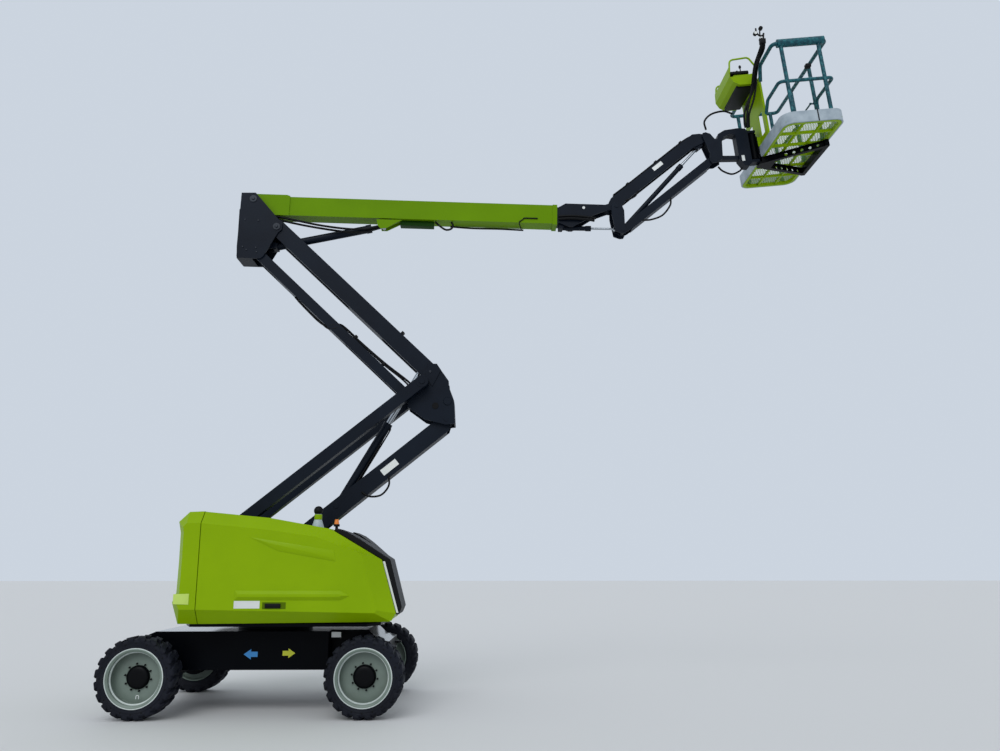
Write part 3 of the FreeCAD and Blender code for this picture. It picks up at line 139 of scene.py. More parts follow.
def finish(name, dark, light, roughness, metallic=0.0, coat=0.0, grain=60.0, grain_depth=0.0004,
           grain_strength=0.25, mottle=1.3, dirt=None, dirt_share=0.35, gloss=0.5, wet=False):
    """Two shades mottled by slow noise, a fine grain as bump and roughness, and dust in patches.

    A wet finish has a clear coat on the faces that look up.
    """
    material = bpy.data.materials.new(name)
    tree = node_tree(material)
    place = tree.nodes.new("ShaderNodeTexCoord").outputs["Object"]
    shader = tree.nodes.new("ShaderNodeBsdfPrincipled")
    out = tree.nodes.new("ShaderNodeOutputMaterial")
    tree.links.new(shader.outputs["BSDF"], out.inputs["Surface"])
    colour = ramp(tree, noise(tree, place, mottle), [(0.35, dark), (0.65, light)])
    if dirt is not None:
        patches = remap(tree, noise(tree, place, 5.5, 8.0, 0.65), 0.5, 0.8, 0.0, dirt_share)
        colour = mixed(tree, patches, colour, linear(dirt))
    tree.links.new(colour, shader.inputs["Base Color"])
    fine = noise(tree, place, grain, 3.0)
    tree.links.new(remap(tree, fine, 0.3, 0.7, roughness * 0.85, min(1.0, roughness * 1.2)),
                   shader.inputs["Roughness"])
    tree.links.new(bumped(tree, fine, grain_strength, grain_depth), shader.inputs["Normal"])
    shader.inputs["Metallic"].default_value = metallic
    shader.inputs["Coat Weight"].default_value = coat
    shader.inputs["Coat Roughness"].default_value = 0.08
    shader.inputs["Specular IOR Level"].default_value = gloss
    if wet:
        facing = tree.nodes.new("ShaderNodeSeparateXYZ")
        tree.links.new(tree.nodes.new("ShaderNodeNewGeometry").outputs["Normal"], facing.inputs["Vector"])
        tree.links.new(remap(tree, facing.outputs["Z"], 0.3, 0.8, coat, 1.0), shader.inputs["Coat Weight"])
    return material


def wrapped_film(name):
    """Teal stretch film wound on the rails: slanting bands with wrinkles along the tube."""
    material = bpy.data.materials.new(name)
    tree = node_tree(material)
    place = tree.nodes.new("ShaderNodeTexCoord").outputs["Object"]
    shader = tree.nodes.new("ShaderNodeBsdfPrincipled")
    out = tree.nodes.new("ShaderNodeOutputMaterial")
    tree.links.new(shader.outputs["BSDF"], out.inputs["Surface"])
    wave = tree.nodes.new("ShaderNodeTexWave")
    wave.bands_direction = "DIAGONAL"
    wave.inputs["Scale"].default_value = 7.0
    wave.inputs["Distortion"].default_value = 5.0
    wave.inputs["Detail"].default_value = 3.0
    tree.links.new(place, wave.inputs["Vector"])
    crumple = noise(tree, place, 26.0, 6.0, 0.7)
    colour = ramp(tree, crumple, [(0.3, (4, 46, 60)), (0.5, (10, 76, 88)), (0.72, (38, 122, 128))])
    tree.links.new(colour, shader.inputs["Base Color"])
    both = tree.nodes.new("ShaderNodeMath")
    both.operation = "ADD"
    tree.links.new(wave.outputs["Fac"], both.inputs[0])
    tree.links.new(crumple, both.inputs[1])
    tree.links.new(bumped(tree, both.outputs["Value"], 0.8, 0.006), shader.inputs["Normal"])
    shader.inputs["Roughness"].default_value = 0.38
    shader.inputs["Specular IOR Level"].default_value = 0.3
    return material


lime = finish("lime_paint", (126, 160, 0), (134, 168, 2), 0.34, coat=0.02, grain=220.0, grain_depth=0.0002,
              grain_strength=0.12, mottle=0.8, dirt=(104, 128, 10), dirt_share=0.08, gloss=0.08)
# Darker lime: painted shade of the latch's recess
lime_shadow = finish("lime_recess_painted_shade", (72, 96, 0), (82, 108, 2), 0.5, grain=220.0, gloss=0.08)
# Darker copy of the lime paint for the boom, its hatch and lug: painted shade of the boom's side
shaded_boom_lime = finish("boom_lime_painted_shade", (92, 130, 0), (102, 142, 0), 0.36, coat=0.0, grain=220.0, grain_depth=0.0002,
                   grain_strength=0.12, mottle=0.8, dirt=(80, 108, 6), dirt_share=0.08, gloss=0.05)
# Dark green: painted shade of the boom's underside, used on the keel
boom_shadow = finish("boom_underside_painted_shade", (14, 48, 2), (22, 60, 4), 0.5, grain=220.0, gloss=0.08)
charcoal = finish("charcoal_paint", (6, 14, 26), (11, 21, 34), 0.44, coat=0.01, grain=180.0,
                  grain_depth=0.0003, grain_strength=0.15, dirt=(28, 38, 48), dirt_share=0.16, gloss=0.12)
chassis_black = finish("chassis_paint", (1, 2, 5), (3, 5, 9), 0.34, coat=0.0, grain=140.0,
                       dirt=(12, 14, 16), dirt_share=0.12, gloss=0.05, wet=True)
rubber = finish("tyre_rubber", (14, 16, 24), (22, 25, 35), 0.68, grain=120.0, grain_depth=0.0008,
                grain_strength=0.5, dirt=(50, 53, 55), dirt_share=0.3, gloss=0.16)
rim_grey = finish("rim_paint", (104, 118, 110), (118, 132, 124), 0.42, coat=0.06, grain=160.0,
                  dirt=(92, 94, 84), dirt_share=0.3, gloss=0.3)
# Pale grey for the rim's lips: painted highlight, a lit copy of the rim paint, with real dirt patches
lip_highlight_grey = finish("rim_lip_painted_highlight", (176, 186, 184), (204, 214, 210), 0.36, coat=0.1, grain=160.0,
                    dirt=(120, 122, 114), dirt_share=0.2)
hub_black = finish("hub_paint", (2, 3, 5), (5, 6, 9), 0.36, grain=180.0, gloss=0.10)
black_plastic = finish("black_plastic", (5, 6, 8), (11, 12, 15), 0.5, grain=260.0, grain_strength=0.3,
                       gloss=0.15)
tray_black = finish("tray_plastic", (7, 9, 12), (14, 16, 20), 0.55, grain=200.0, grain_strength=0.3,
                    gloss=0.15)
hose_rubber = finish("hose_rubber", (4, 5, 7), (10, 11, 14), 0.5, grain=300.0, grain_strength=0.35,
                     gloss=0.15)
steel_dark = finish("pin_steel", (20, 27, 37), (32, 39, 49), 0.42, metallic=0.4, grain=200.0)
chrome = finish("rod_chrome", (150, 156, 162), (176, 182, 188), 0.16, metallic=1.0, grain=90.0,
                grain_strength=0.05)
amber = finish("amber_lens", (220, 110, 10), (246, 150, 30), 0.2, coat=0.6, grain=90.0)
pale_board = finish("toe_board_film", (140, 154, 165), (168, 181, 190), 0.42, grain=30.0, grain_depth=0.002,
                    grain_strength=0.4, mottle=6.0)
label_white = finish("blank_label", (206, 210, 208), (224, 227, 226), 0.4, grain=200.0)
# Near-black: painted shade in hollows, the tyre walls' cups and the knuckle's hole
hollow_shade_black = finish("hollow_painted_shade", (4, 5, 7), (9, 10, 12), 0.6, grain=200.0, gloss=0.15)
# Pale lime: painted highlight, the sky's reflection on a facet of the tail
lime_facet_painted_highlight = finish("lime_facet_painted_highlight", (176, 204, 84), (190, 216, 104), 0.3, coat=0.2, grain=220.0)
stop_red = finish("stop_button", (168, 20, 16), (190, 30, 22), 0.35, grain=200.0)
arrow_blue = finish("arrow_blue", (30, 112, 178), (48, 134, 200), 0.4, grain=200.0)
arrow_green = finish("arrow_green", (170, 176, 24), (192, 198, 40), 0.4, grain=200.0)
film = wrapped_film("teal_film")
cast_grey = finish("iron_block", (62, 62, 60), (84, 84, 80), 0.6, metallic=0.3, grain=40.0)

finishes = {
    "chassis_frame": chassis_black, "chassis_nose": chassis_black, "axles": chassis_black,
    "steer_knuckle_near": chassis_black, "steer_knuckle_far": chassis_black,
    "turret_frame": chassis_black, "tail_cover": lime,
    "counterweight": cast_grey, "engine_block": cast_grey, "hood_near": lime, "hood_far": lime,
    "front_guard_near": black_plastic, "front_guard_far": black_plastic, "beacon": amber,
    "signal_post": pale_board, "lower_arm": charcoal, "lower_link": charcoal, "riser_barrel": charcoal,
    "riser_rod": chrome, "knuckle": charcoal, "upper_arm": charcoal, "upper_link": charcoal,
    "upright": charcoal, "boom": shaded_boom_lime, "boom_barrel": charcoal, "boom_rod": chrome,
    "extension": charcoal, "level_barrel": charcoal, "level_rod": chrome, "jib_bracket": charcoal,
    "jib_arm": charcoal, "jib_link": charcoal, "jib_barrel": charcoal, "jib_rod": chrome,
    "jib_head": charcoal, "rotator": chassis_black, "platform_floor": lime, "toe_board": pale_board,
    "top_rail": film, "mid_rail_near": film, "mid_rail_far": film, "mount_panel": lime,
    "entry_bar": film, "console": lime,
}
for wheel in ("back_near", "back_far", "front_near", "front_far"):
    finishes["tyre_" + wheel] = rubber
    finishes["rim_" + wheel] = rim_grey

# Rounding of the painted edges, where it isn't the common one
common_edge = 0.004
edge_widths = {
    "hood_near": 0.022, "hood_far": 0.022, "tail_cover": 0.016, "front_guard_near": 0.008,
    "front_guard_far": 0.008, "console": 0.003, "toe_board": 0.004, "top_rail": 0.002,
    "mid_rail_near": 0.001, "mid_rail_far": 0.001, "entry_bar": 0.001,
}


def soften(node, width):
    """Rounds a node's edges by a small width, with its own places unchanged."""
    weld = node.modifiers.new("weld", "WELD")
    weld.merge_threshold = 1e-5
    flat = node.modifiers.new("flat", "DECIMATE")
    flat.decimate_type = "DISSOLVE"
    flat.angle_limit = math.radians(0.5)
    bevel = node.modifiers.new("edge", "BEVEL")
    bevel.width = width
    bevel.segments = 3
    bevel.limit_method = "ANGLE"
    bevel.angle_limit = math.radians(20 if width > 0.01 else 30)
    normals = node.modifiers.new("normals", "WEIGHTED_NORMAL")
    normals.keep_sharp = False
    mesh = node.data
    mesh.polygons.foreach_set("use_smooth", np.ones(len(mesh.polygons), bool))


for name, node in nodes.items():
    node.data.materials.clear()
    node.data.materials.append(finishes[name])
    if not name.startswith("tyre_"):
        soften(node, edge_widths.get(name, common_edge))


def grid_faces(rows, columns):
    """Quads of a grid of points, numbered row by row and closed round each row."""
    i, j = np.meshgrid(np.arange(rows - 1), np.arange(columns), indexing="ij")
    after = (j + 1) % columns
    row, following = i * columns, (i + 1) * columns
    return np.stack([row + j, row + after, following + after, following + j], -1).reshape(-1, 4)


def volume(points, faces):
    """Six times the volume inside: the sum of corner . (corner x corner) over each face's fan."""
    total = 0.0
    for group in faces:
        corners = points[group]
        total += np.sum(corners[:, :1] * np.cross(corners[:, 1:-1], corners[:, 2:]))
    return total


def shell(grid, capped=True):
    """Points and faces of a skin whose rows are rings, with its end rings as flat caps, facing out."""
    rows, columns = grid.shape[:2]
    faces = [grid_faces(rows, columns)]
    if capped:
        ring = np.arange(columns)
        faces.append(np.array([ring[::-1], ring + (rows - 1) * columns]))
    points = grid.reshape(-1, 3)
    if volume(points - points.mean(0), faces) < 0:
        faces = [group[:, ::-1] for group in faces]
    return points, faces


def copies(part, turns, moves):
    """The same shell at many places: point = turn . point + move, for each place's turn and move."""
    points, faces = part
    moved = np.einsum("kij,nj->kni", turns, points) + moves[:, None]
    step = len(points) * np.arange(len(moves))[:, None, None]
    return moved.reshape(-1, 3), [(group[None] + step).reshape(-1, group.shape[1]) for group in faces]


def spread(part, places):
    """The same shell at many places, not turned."""
    places = np.array(places, float)
    return copies(part, np.repeat(np.eye(3)[None], len(places), 0), places)


def together(parts):
    """Several shells as one."""
    points, faces, start = [], [], 0
    for part_points, part_faces in parts:
        points.append(part_points)
        faces += [group + start for group in part_faces]
        start += len(part_points)
    return np.concatenate(points), faces


def piece(name, part, material, body, sharp=38):
    """Mesh object of a shell, smooth apart from its sharp edges, riding on a body."""
    points, faces = part
    mesh = bpy.data.meshes.new(name)
    mesh.from_pydata(points.tolist(), [], [face for group in faces for face in group.tolist()])
    mesh.polygons.foreach_set("use_smooth", np.ones(len(mesh.polygons), bool))
    mesh.set_sharp_from_angle(angle=math.radians(sharp))
    mesh.materials.append(material)
    made = bpy.data.objects.new(name, mesh)
    bpy.context.scene.collection.objects.link(made)
    if body is not None:
        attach(made, body)
    return made


def turn_about(axis, angles):
    """Turn matrices about x, y or z, one for each angle."""
    angles = np.atleast_1d(np.asarray(angles, float))
    c, s, o, l = np.cos(angles), np.sin(angles), np.zeros_like(angles), np.ones_like(angles)
    rows = {
        "x": [[l, o, o], [o, c, -s], [o, s, c]],
        "y": [[c, o, s], [o, l, o], [-s, o, c]],
        "z": [[c, -s, o], [s, c, o], [o, o, l]],
    }[axis]
    return np.moveaxis(np.array(rows), 2, 0)


def rounded_outline(width, height, corner, steps=5):
    """Ring of (u, v) round a rectangle: four quarter circles about its corners' centres."""
    arc = np.linspace(0, math.pi / 2, steps)
    angles = np.concatenate([arc + k * math.pi / 2 for k in range(4)])
    sign_u = np.repeat([1, -1, -1, 1], steps)
    sign_v = np.repeat([1, 1, -1, -1], steps)
    u = sign_u * (width / 2 - corner) + corner * np.cos(angles)
    v = sign_v * (height / 2 - corner) + corner * np.sin(angles)
    return np.stack([u, v], -1)


def block(low, high, corner=0.004, edge=0.002, steps=4):
    """Box with rounded upright corners and edges: rings that draw in by edge (1 - sin a) near its ends."""
    low, high = np.array(low, float), np.array(high, float)
    size = high - low
    middle = (low + high) / 2
    arc = np.linspace(0, math.pi / 2, 3)
    drawn = np.concatenate([edge * (1 - np.sin(arc)), edge * (1 - np.sin(arc[::-1]))])
    level = np.concatenate([edge * (1 - np.cos(arc)), size[2] - edge * (1 - np.cos(arc[::-1]))])
    outline = rounded_outline(size[0], size[1], corner, steps)
    share = (size[:2] / 2 - drawn[:, None]) / (size[:2] / 2)
    grid = np.zeros((len(level), len(outline), 3))
    grid[..., :2] = outline[None] * share[:, None]
    grid[..., 2] = (low[2] + level - middle[2])[:, None]
    points, faces = shell(grid)
    return points + middle, faces


def spun(profile, steps=48, capped=True):
    """Turned form about Y from (radius, along) points: x = r cos a, z = r sin a."""
    profile = np.array(profile, float)
    angle = np.arange(steps) * 2 * math.pi / steps
    radius, along = profile[:, :1], profile[:, 1:]
    grid = np.stack([radius * np.cos(angle), along + 0 * angle, radius * np.sin(angle)], -1)
    return shell(grid, capped)


def ring_of(profile, steps=96):
    """Closed turned ring about Y: the profile runs round on itself."""
    return spun(list(profile) + [profile[0]], steps, capped=False)


def turned_over(part):
    """The part turned half round about Z, so that its outside looks the other way."""
    return part[0] @ turn_about("z", [math.pi])[0].T, part[1]


def mirrored(part):
    """The part mirrored across, its faces turned to look outward again."""
    return part[0] * np.array([1, -1, 1]), [group[:, ::-1] for group in part[1]]


def across_at(ring, y):
    """Ring of (x, z) points as places at one y."""
    return np.stack([ring[:, 0], np.full(len(ring), y), ring[:, 1]], -1)


def side_plate(outline, y0, y1, draw=0.0):
    """Plate between two places across, from (x, z) points, its first face drawn in by draw."""
    outline = np.array(outline, float)
    middle = outline.mean(0)
    inner = middle + (outline - middle) * (1 - draw)
    quarter = y0 + (y1 - y0) * 0.25
    return shell(np.stack([across_at(inner, y0), across_at(outline, quarter), across_at(outline, y1)]))


def oblong(u0, v0, u1, v1):
    """Corners of an upright rectangle."""
    return [(u0, v0), (u1, v0), (u1, v1), (u0, v1)]


def moved(part, move):
    return part[0] + np.array(move), part[1]


def smooth_line(points, steps=8):
    """Line through the points: between each two, the cubic whose slopes are half the chord past them."""
    p = np.array(points, float)
    padded = np.concatenate([2 * p[:1] - p[1:2], p, 2 * p[-1:] - p[-2:-1]])
    a, b, c, d = padded[:-3], padded[1:-2], padded[2:-1], padded[3:]
    t = (np.arange(steps) / steps)[None, :, None]
    a, b, c, d = (q[:, None] for q in (a, b, c, d))
    square, cube = 2 * a - 5 * b + 4 * c - d, 3 * b - a - 3 * c + d
    line = 0.5 * (2 * b + (c - a) * t + square * t ** 2 + cube * t ** 3)
    return np.concatenate([line.reshape(-1, 3), p[-1:]])


def swept(path, outline, across=(0, 1, 0)):
    """Outline carried along a path: ring = path + u side + v up, side and up square to the path."""
    path = np.asarray(path, float)
    along = np.gradient(path, axis=0)
    along /= np.linalg.norm(along, axis=1, keepdims=True)
    up = np.cross(along, np.array(across, float))
    up /= np.linalg.norm(up, axis=1, keepdims=True)
    side = np.cross(up, along)
    grid = path[:, None] + outline[None, :, :1] * side[:, None] + outline[None, :, 1:] * up[:, None]
    return shell(grid)


def round_outline(radius, steps=12):
    angle = np.arange(steps) * 2 * math.pi / steps
    return radius * np.stack([np.cos(angle), np.sin(angle)], -1)


def hose(points, radius, steps=8, across=(0, 1, 0)):
    return swept(smooth_line(points, steps), round_outline(radius), across)


def tyre_carcass():
    """Turned tyre: bulging walls, a ledge band, and a flat tread below the lugs' tops."""
    # Radius, distance from the middle
    half = [
        (0.283, 0.128), (0.300, 0.146), (0.306, 0.1485), (0.318, 0.1500), (0.330, 0.1520),
        (0.342, 0.1540), (0.3435, 0.1520), (0.345, 0.1500), (0.362, 0.1495), (0.3655, 0.1510),
        (0.372, 0.1500), (0.381, 0.1465), (0.390, 0.1390), (0.396, 0.1250), (0.3975, 0.060),
    ]
    profile = half + [(r, -w) for r, w in reversed(half)]
    return ring_of(profile, 160)


def round_axle(part, shift):
    """The part once at each lug's angle, shifted by a share of the pitch."""
    angles = (np.arange(lug_count) + shift) * lug_pitch
    return copies(part, turn_about("y", angles), np.zeros((lug_count, 3)))


def tyre_lugs():
    """Lugs: a trapezoid section carried from the tread's middle over the shoulder and down the wall.

    Each row is set square to the line (out, radius), leans back by lean as it nears the middle, and is
    wrapped about the axle by angle = across / radius. The other side's lugs lie half a pitch on.
    """
    line = smooth_line([(0.006, 0.4232, 0), (0.070, 0.4236, 0), (0.112, 0.4228, 0), (0.138, 0.4160, 0),
                        (0.1525, 0.4020, 0), (0.1545, 0.3860, 0), (0.1530, 0.3690, 0)], 3)[:, :2]
    share = np.linspace(0, 1, len(line))
    wide = 0.060 + 0.010 * np.sin(share * math.pi) - 0.012 * share ** 3
    lean = 0.052 * np.clip(1 - share / 0.62, 0, 1)
    along = np.gradient(line, axis=0)
    along /= np.linalg.norm(along, axis=1, keepdims=True)
    inward = np.stack([along[:, 1], -along[:, 0]], -1)
    deep = np.where(share < 0.7, 0.030, 0.030 - 0.022 * (share - 0.7) / 0.3)
    section = np.array([(-0.5, 1.0), (-0.5, 0.16), (-0.44, 0.0), (0.44, 0.0), (0.5, 0.16), (0.5, 1.0)])
    across = section[None, :, 0] * wide[:, None] * (1 + 0.14 * section[None, :, 1]) + lean[:, None]
    place = line[:, None] + inward[:, None] * (section[None, :, 1] * deep[:, None])[..., None]
    angle = across / place[..., 1]
    grid = np.stack([place[..., 1] * np.sin(angle), place[..., 0], place[..., 1] * np.cos(angle)], -1)
    one = shell(grid)
    return together([round_axle(one, 0), round_axle(turned_over(one), 0.5)])


def wall_marks():
    """Small square cups round the ledge band of each wall, one for each lug, as near-flush blocks that carry
    the cups' painted shade.
    """
    cup = block((-0.0085, 0.1425, 0.3455), (0.0085, 0.1508, 0.3625), 0.003, 0.001, 3)
    return together([round_axle(cup, 0.5), round_axle(turned_over(cup), 0)])


def wheel_trim(side):
    """Hub cap, studs and the rim's two lips, as (radius, distance out) profiles turned about Y."""
    hub = [(0.0, 0.0560), (0.060, 0.0555), (0.092, 0.0535), (0.106, 0.0475), (0.1165, 0.0375),
           (0.1225, 0.0240), (0.1235, 0.0105), (0.0, 0.0105)]
    lip = [(0.2815, 0.139), (0.2900, 0.1485), (0.2985, 0.1515), (0.3035, 0.1530), (0.3075, 0.1505),
           (0.3045, 0.1470), (0.2995, 0.1450), (0.2920, 0.1400), (0.2845, 0.1310)]
    inner_lip = [(0.2560, 0.100), (0.2630, 0.1075), (0.2700, 0.1085), (0.2700, 0.100)]
    stud = [(0.0, 0.048), (0.0040, 0.0475), (0.0045, 0.027), (0.0100, 0.0265), (0.0105, 0.010),
            (0.0, 0.010)]
    studs, circle = 10, 0.139
    angle = (np.arange(studs) + 0.25) * 2 * math.pi / studs
    places = np.stack([circle * np.cos(angle), 0 * angle, circle * np.sin(angle)], -1)
    parts = {"hub": spun(hub, 72), "lip": together([ring_of(lip, 128), ring_of(inner_lip, 128)]),
             "nuts": spread(spun(stud, 6), places)}
    return parts if side > 0 else {name: turned_over(part) for name, part in parts.items()}


def make_wheels():
    carcass = together([tyre_carcass(), tyre_lugs()])
    cups = wall_marks()
    # wheel, place along X, side
    for wheel, x, side in (("back_near", -axle_x, -1), ("back_far", -axle_x, 1),
                           ("front_near", axle_x, -1), ("front_far", axle_x, 1)):
        place = (x + slew_x, side * wheel_y, axle_z)
        body = "wheel_" + wheel
        made = piece("lugged_tyre_" + wheel, moved(carcass, place), rubber, body, 30)
        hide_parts("tyre_" + wheel)
        # Cups in near-black: painted shade of their hollows
        piece("wall_cups_" + wheel, moved(cups, place), hollow_shade_black, body)
        trim = wheel_trim(side)
        piece("hub_cap_" + wheel, moved(trim["hub"], place), hub_black, body)
        # Lips in the pale grey of painted highlight
        piece("rim_lip_" + wheel, moved(trim["lip"], place), lip_highlight_grey, body)
        piece("wheel_nuts_" + wheel, moved(trim["nuts"], place), hub_black, body)
    # Small staple on the disc of the back near wheel
    handle = [(-0.014, -0.014), (-0.014, 0.012), (-0.008, 0.020), (0.008, 0.020), (0.014, 0.012),
              (0.014, -0.014)]
    middle_x, middle_z = 0.02 - axle_x + slew_x, axle_z - 0.20
    staple = hose([(x + middle_x, -0.052 - wheel_y, z + middle_z) for x, z in handle], 0.0035, 6)
    piece("disc_staple", staple, label_white, "wheel_back_near")


def plate_on_side(name, outline, face, thick, material, body):
    """Thin plate standing proud of a side face that looks towards -Y, from axis places."""
    return piece(name, side_plate(from_axis(outline), face - thick, face + 0.002), material, body)


def from_axis(points):
    """Places along X from the slewing axis and heights, in millimetres, to metres."""
    return [((x / 1000) + slew_x, z / 1000) for x, z in points]


def arrow(x0, x1, z0, z1, head, shaft):
    """Arrow from x0 to its tip at x1: a shaft, and a head of its own length and the full height."""
    way = 1 if x1 > x0 else -1
    middle = (z0 + z1) / 2
    neck = x1 - way * head
    half = (z1 - z0) * shaft / 2
    return [(x0, middle - half), (neck, middle - half), (neck, z0), (x1, middle), (neck, z1),
            (neck, middle + half), (x0, middle + half)]


def make_chassis_marks():
    """Two arrows and a pale plate on the chassis side."""
    back, front = arrow(-30, -182, 566, 676, 80, 0.5), arrow(244, 383, 580, 683, 75, 0.5)
    plate_on_side("arrow_back_way", back, chassis_face, 0.0015, arrow_blue, "chassis")
    plate_on_side("arrow_front_way", front, chassis_face, 0.0015, arrow_green, "chassis")
    plate_on_side("chassis_plate", oblong(775, 800, 880, 856), chassis_face, 0.002, label_white, "chassis")


def inset(outline, width):
    """Outline whose corners move in along the sum of their two edges' normals, by width from both."""
    outline = np.array(outline, float)
    after_point = np.roll(outline, -1, 0)
    run = after_point - outline
    run /= np.linalg.norm(run, axis=1, keepdims=True)
    area = np.sum(outline[:, 0] * after_point[:, 1] - after_point[:, 0] * outline[:, 1])
    after = np.stack([-run[:, 1], run[:, 0]], -1) * np.sign(area)
    before = np.roll(after, 1, 0)
    return outline + width * (before + after) / (1 + np.sum(before * after, 1, keepdims=True))


def raised(outline, face, proud, bevel, way):
    """Raised form on a side face: full size at its foot, drawn in by the bevel at its top."""
    outline = np.array(outline, float)
    return shell(np.stack([across_at(inset(outline, bevel), face + way * proud),
                           across_at(outline, face + way * 0.002), across_at(outline, face - way * 0.003)]))


def hood_place(points, way):
    """Places on a hood's side from the slewing axis; the far hood is shorter towards the front."""
    drawn = np.array(from_axis(points))
    bend = hood_bend + slew_x
    if way > 0:
        ahead = drawn[:, 0] > bend
        drawn[:, 0] = np.where(ahead, bend + (drawn[:, 0] - bend) * far_hood_share, drawn[:, 0])
    return drawn


def make_hood_skirt(body, way):
    """Lower bevel of a hood: four corners carried along its side's lower edge, from side to deck."""
    share = np.linspace(0, 1, 24)
    top = hood_place(np.stack([-612 + 1902 * share, 1121 - 38 * share], -1), way)
    low = hood_place(np.stack([-612 + 2072 * share, 965 + 20 * share], -1), way)
    thick, draw = 0.004, 0.120
    corners = [(top, hood_side_y), (low, hood_side_y - draw), (low, hood_side_y - draw - thick),
               (top, hood_side_y - thick)]
    grid = np.stack([across_at(line, way * y) for line, y in corners], 1)
    piece("hood_skirt_" + body, shell(grid), lime, body, 25)


def make_hood_forms():
    """Lower bevel, raised band, upper pressing, latch and plates on the hoods' side faces; the latch's recess
    is a plate of painted shade, a tail facet a plate of painted highlight.
    """
    # Name, outline, proud, bevel
    forms = [
        ("hood_band_", [(-206, 1216), (920, 1216), (1022, 1262), (920, 1318), (-206, 1318)], 0.024, 0.036),
        ("hood_pressing_", [(-91, 1885), (833, 1742), (858, 1622), (231, 1733)], 0.014, 0.030),
    ]
    for body, way in (("near_hood", -1), ("far_hood", 1)):
        make_hood_skirt(body, way)
        for name, outline, proud, bevel in forms:
            form = raised(hood_place(outline, way), way * hood_side_y, proud, bevel, way)
            made = piece(name + body, form, lime, body, 25)
            rim = made.modifiers.new("edge", "BEVEL")
            rim.width = 0.003
            rim.segments = 2
            rim.limit_method = "ANGLE"
    face = -hood_side_y
    # Latch recess: a flat plate in darker lime, painted shade of the hollow
    plate_on_side("latch_recess", oblong(94, 1125, 345, 1196), face, 0.0012, lime_shadow, "near_hood")
    grip = block((0.123 + slew_x, face - 0.016, 1.136), (0.291 + slew_x, face - 0.001, 1.182), 0.008, 0.003)
    piece("latch_handle", grip, black_plastic, "near_hood")
    plate_on_side("hood_plate", oblong(-208, 1132, 66, 1210), face, 0.0012, label_white, "near_hood")
    # Pale lime plate on the tail's chamfer facet: painted highlight of the sky's reflection
    facet = from_axis([(-855, 1176), (-690, 1172), (-690, 1285), (-855, 1281)])
    piece("tail_facet_highlight", side_plate(facet, face - 0.004, face + 0.002, 0.03), lime_facet_painted_highlight, "turret")
    strip = from_axis([(1350, 1624), (1374, 1624), (1534, 1077), (1512, 1077)])
    piece("guard_seal", side_plate(strip, guard_face - 0.004, guard_face + 0.010), label_white, "near_hood")


def upright_spin(profile, steps=48):
    """Turned form about Z from (radius, height) points."""
    points, faces = spun(profile, steps)
    return points @ turn_about("x", [math.pi / 2])[0].T, faces


def make_signals():
    """Beacon's dark stem and foot, and the post's lime band and black cap."""
    beacon = (0.753 + slew_x, -0.500, 1.958)
    foot = [(0.0, 0.0), (0.0172, 0.0), (0.0172, 0.060), (0.0345, 0.0605), (0.0352, 0.064), (0.0352, 0.082),
            (0.0335, 0.0855), (0.0312, 0.0865), (0.0, 0.0865)]
    piece("beacon_foot", moved(upright_spin(foot), beacon), black_plastic, "near_hood")
    post = (0.536 + slew_x, -0.500, 2.004)
    band = [(0.0, 0.092), (0.0435, 0.092), (0.0445, 0.096), (0.0445, 0.148), (0.0435, 0.152), (0.0, 0.152)]
    piece("post_band", moved(upright_spin(band), post), lime, "near_hood")
    turn = np.linspace(-math.pi / 2, math.pi / 2, 25)
    ball = 0.0532
    cap = np.stack([ball * np.cos(turn), 0.195 + ball * np.sin(turn)], -1)
    cap[[0, -1], 0] = 0.001
    piece("post_cap", moved(upright_spin(cap), post), black_plastic, "near_hood")


def line_frame(foot, degrees):
    """Places (s, h, y) along and above a line that leaves its foot at an angle, as world points."""
    angle = math.radians(degrees)
    along = np.array([math.cos(angle), 0, math.sin(angle)])
    above = np.array([-math.sin(angle), 0, math.cos(angle)])

    def at(points):
        points = np.array(points, float)
        place = np.array([foot[0], 0, foot[1]])
        across = np.array([0, 1.0, 0])
        return place + points[:, :1] * along + points[:, 1:2] * above + points[:, 2:3] * across
    return at


# Pins seen from the near side, and the lines of the arms: foot and angle
boom_foot = (-3.221, 6.2195)
upper_foot = (-0.8934, 3.9335)
upper_top = (-2.902, 5.8395)
boom_at = line_frame(boom_foot, -1.4)
jib_at = line_frame((1.5097, 6.191), 39.7)
upper_at = line_frame(upper_foot, 136.5)
link_at = line_frame((-1.0954, 3.5555), 136.5)
jib_low_at = line_frame((1.5897, 5.861), 39.7)
plain_at = line_frame((0.0, 0.0), 0.0)
lower_link_at = line_frame((-2.982, 1.484), 39.0)
barrel_at = line_frame((-2.0075, 2.2732), 60.12)
platform_at = line_frame((3.885, 6.97), 5.9)


def framed(at, part):
    """Shell made in (s, y, h) and moved to a line's frame."""
    points, faces = part
    return at(points[:, [0, 2, 1]]), faces


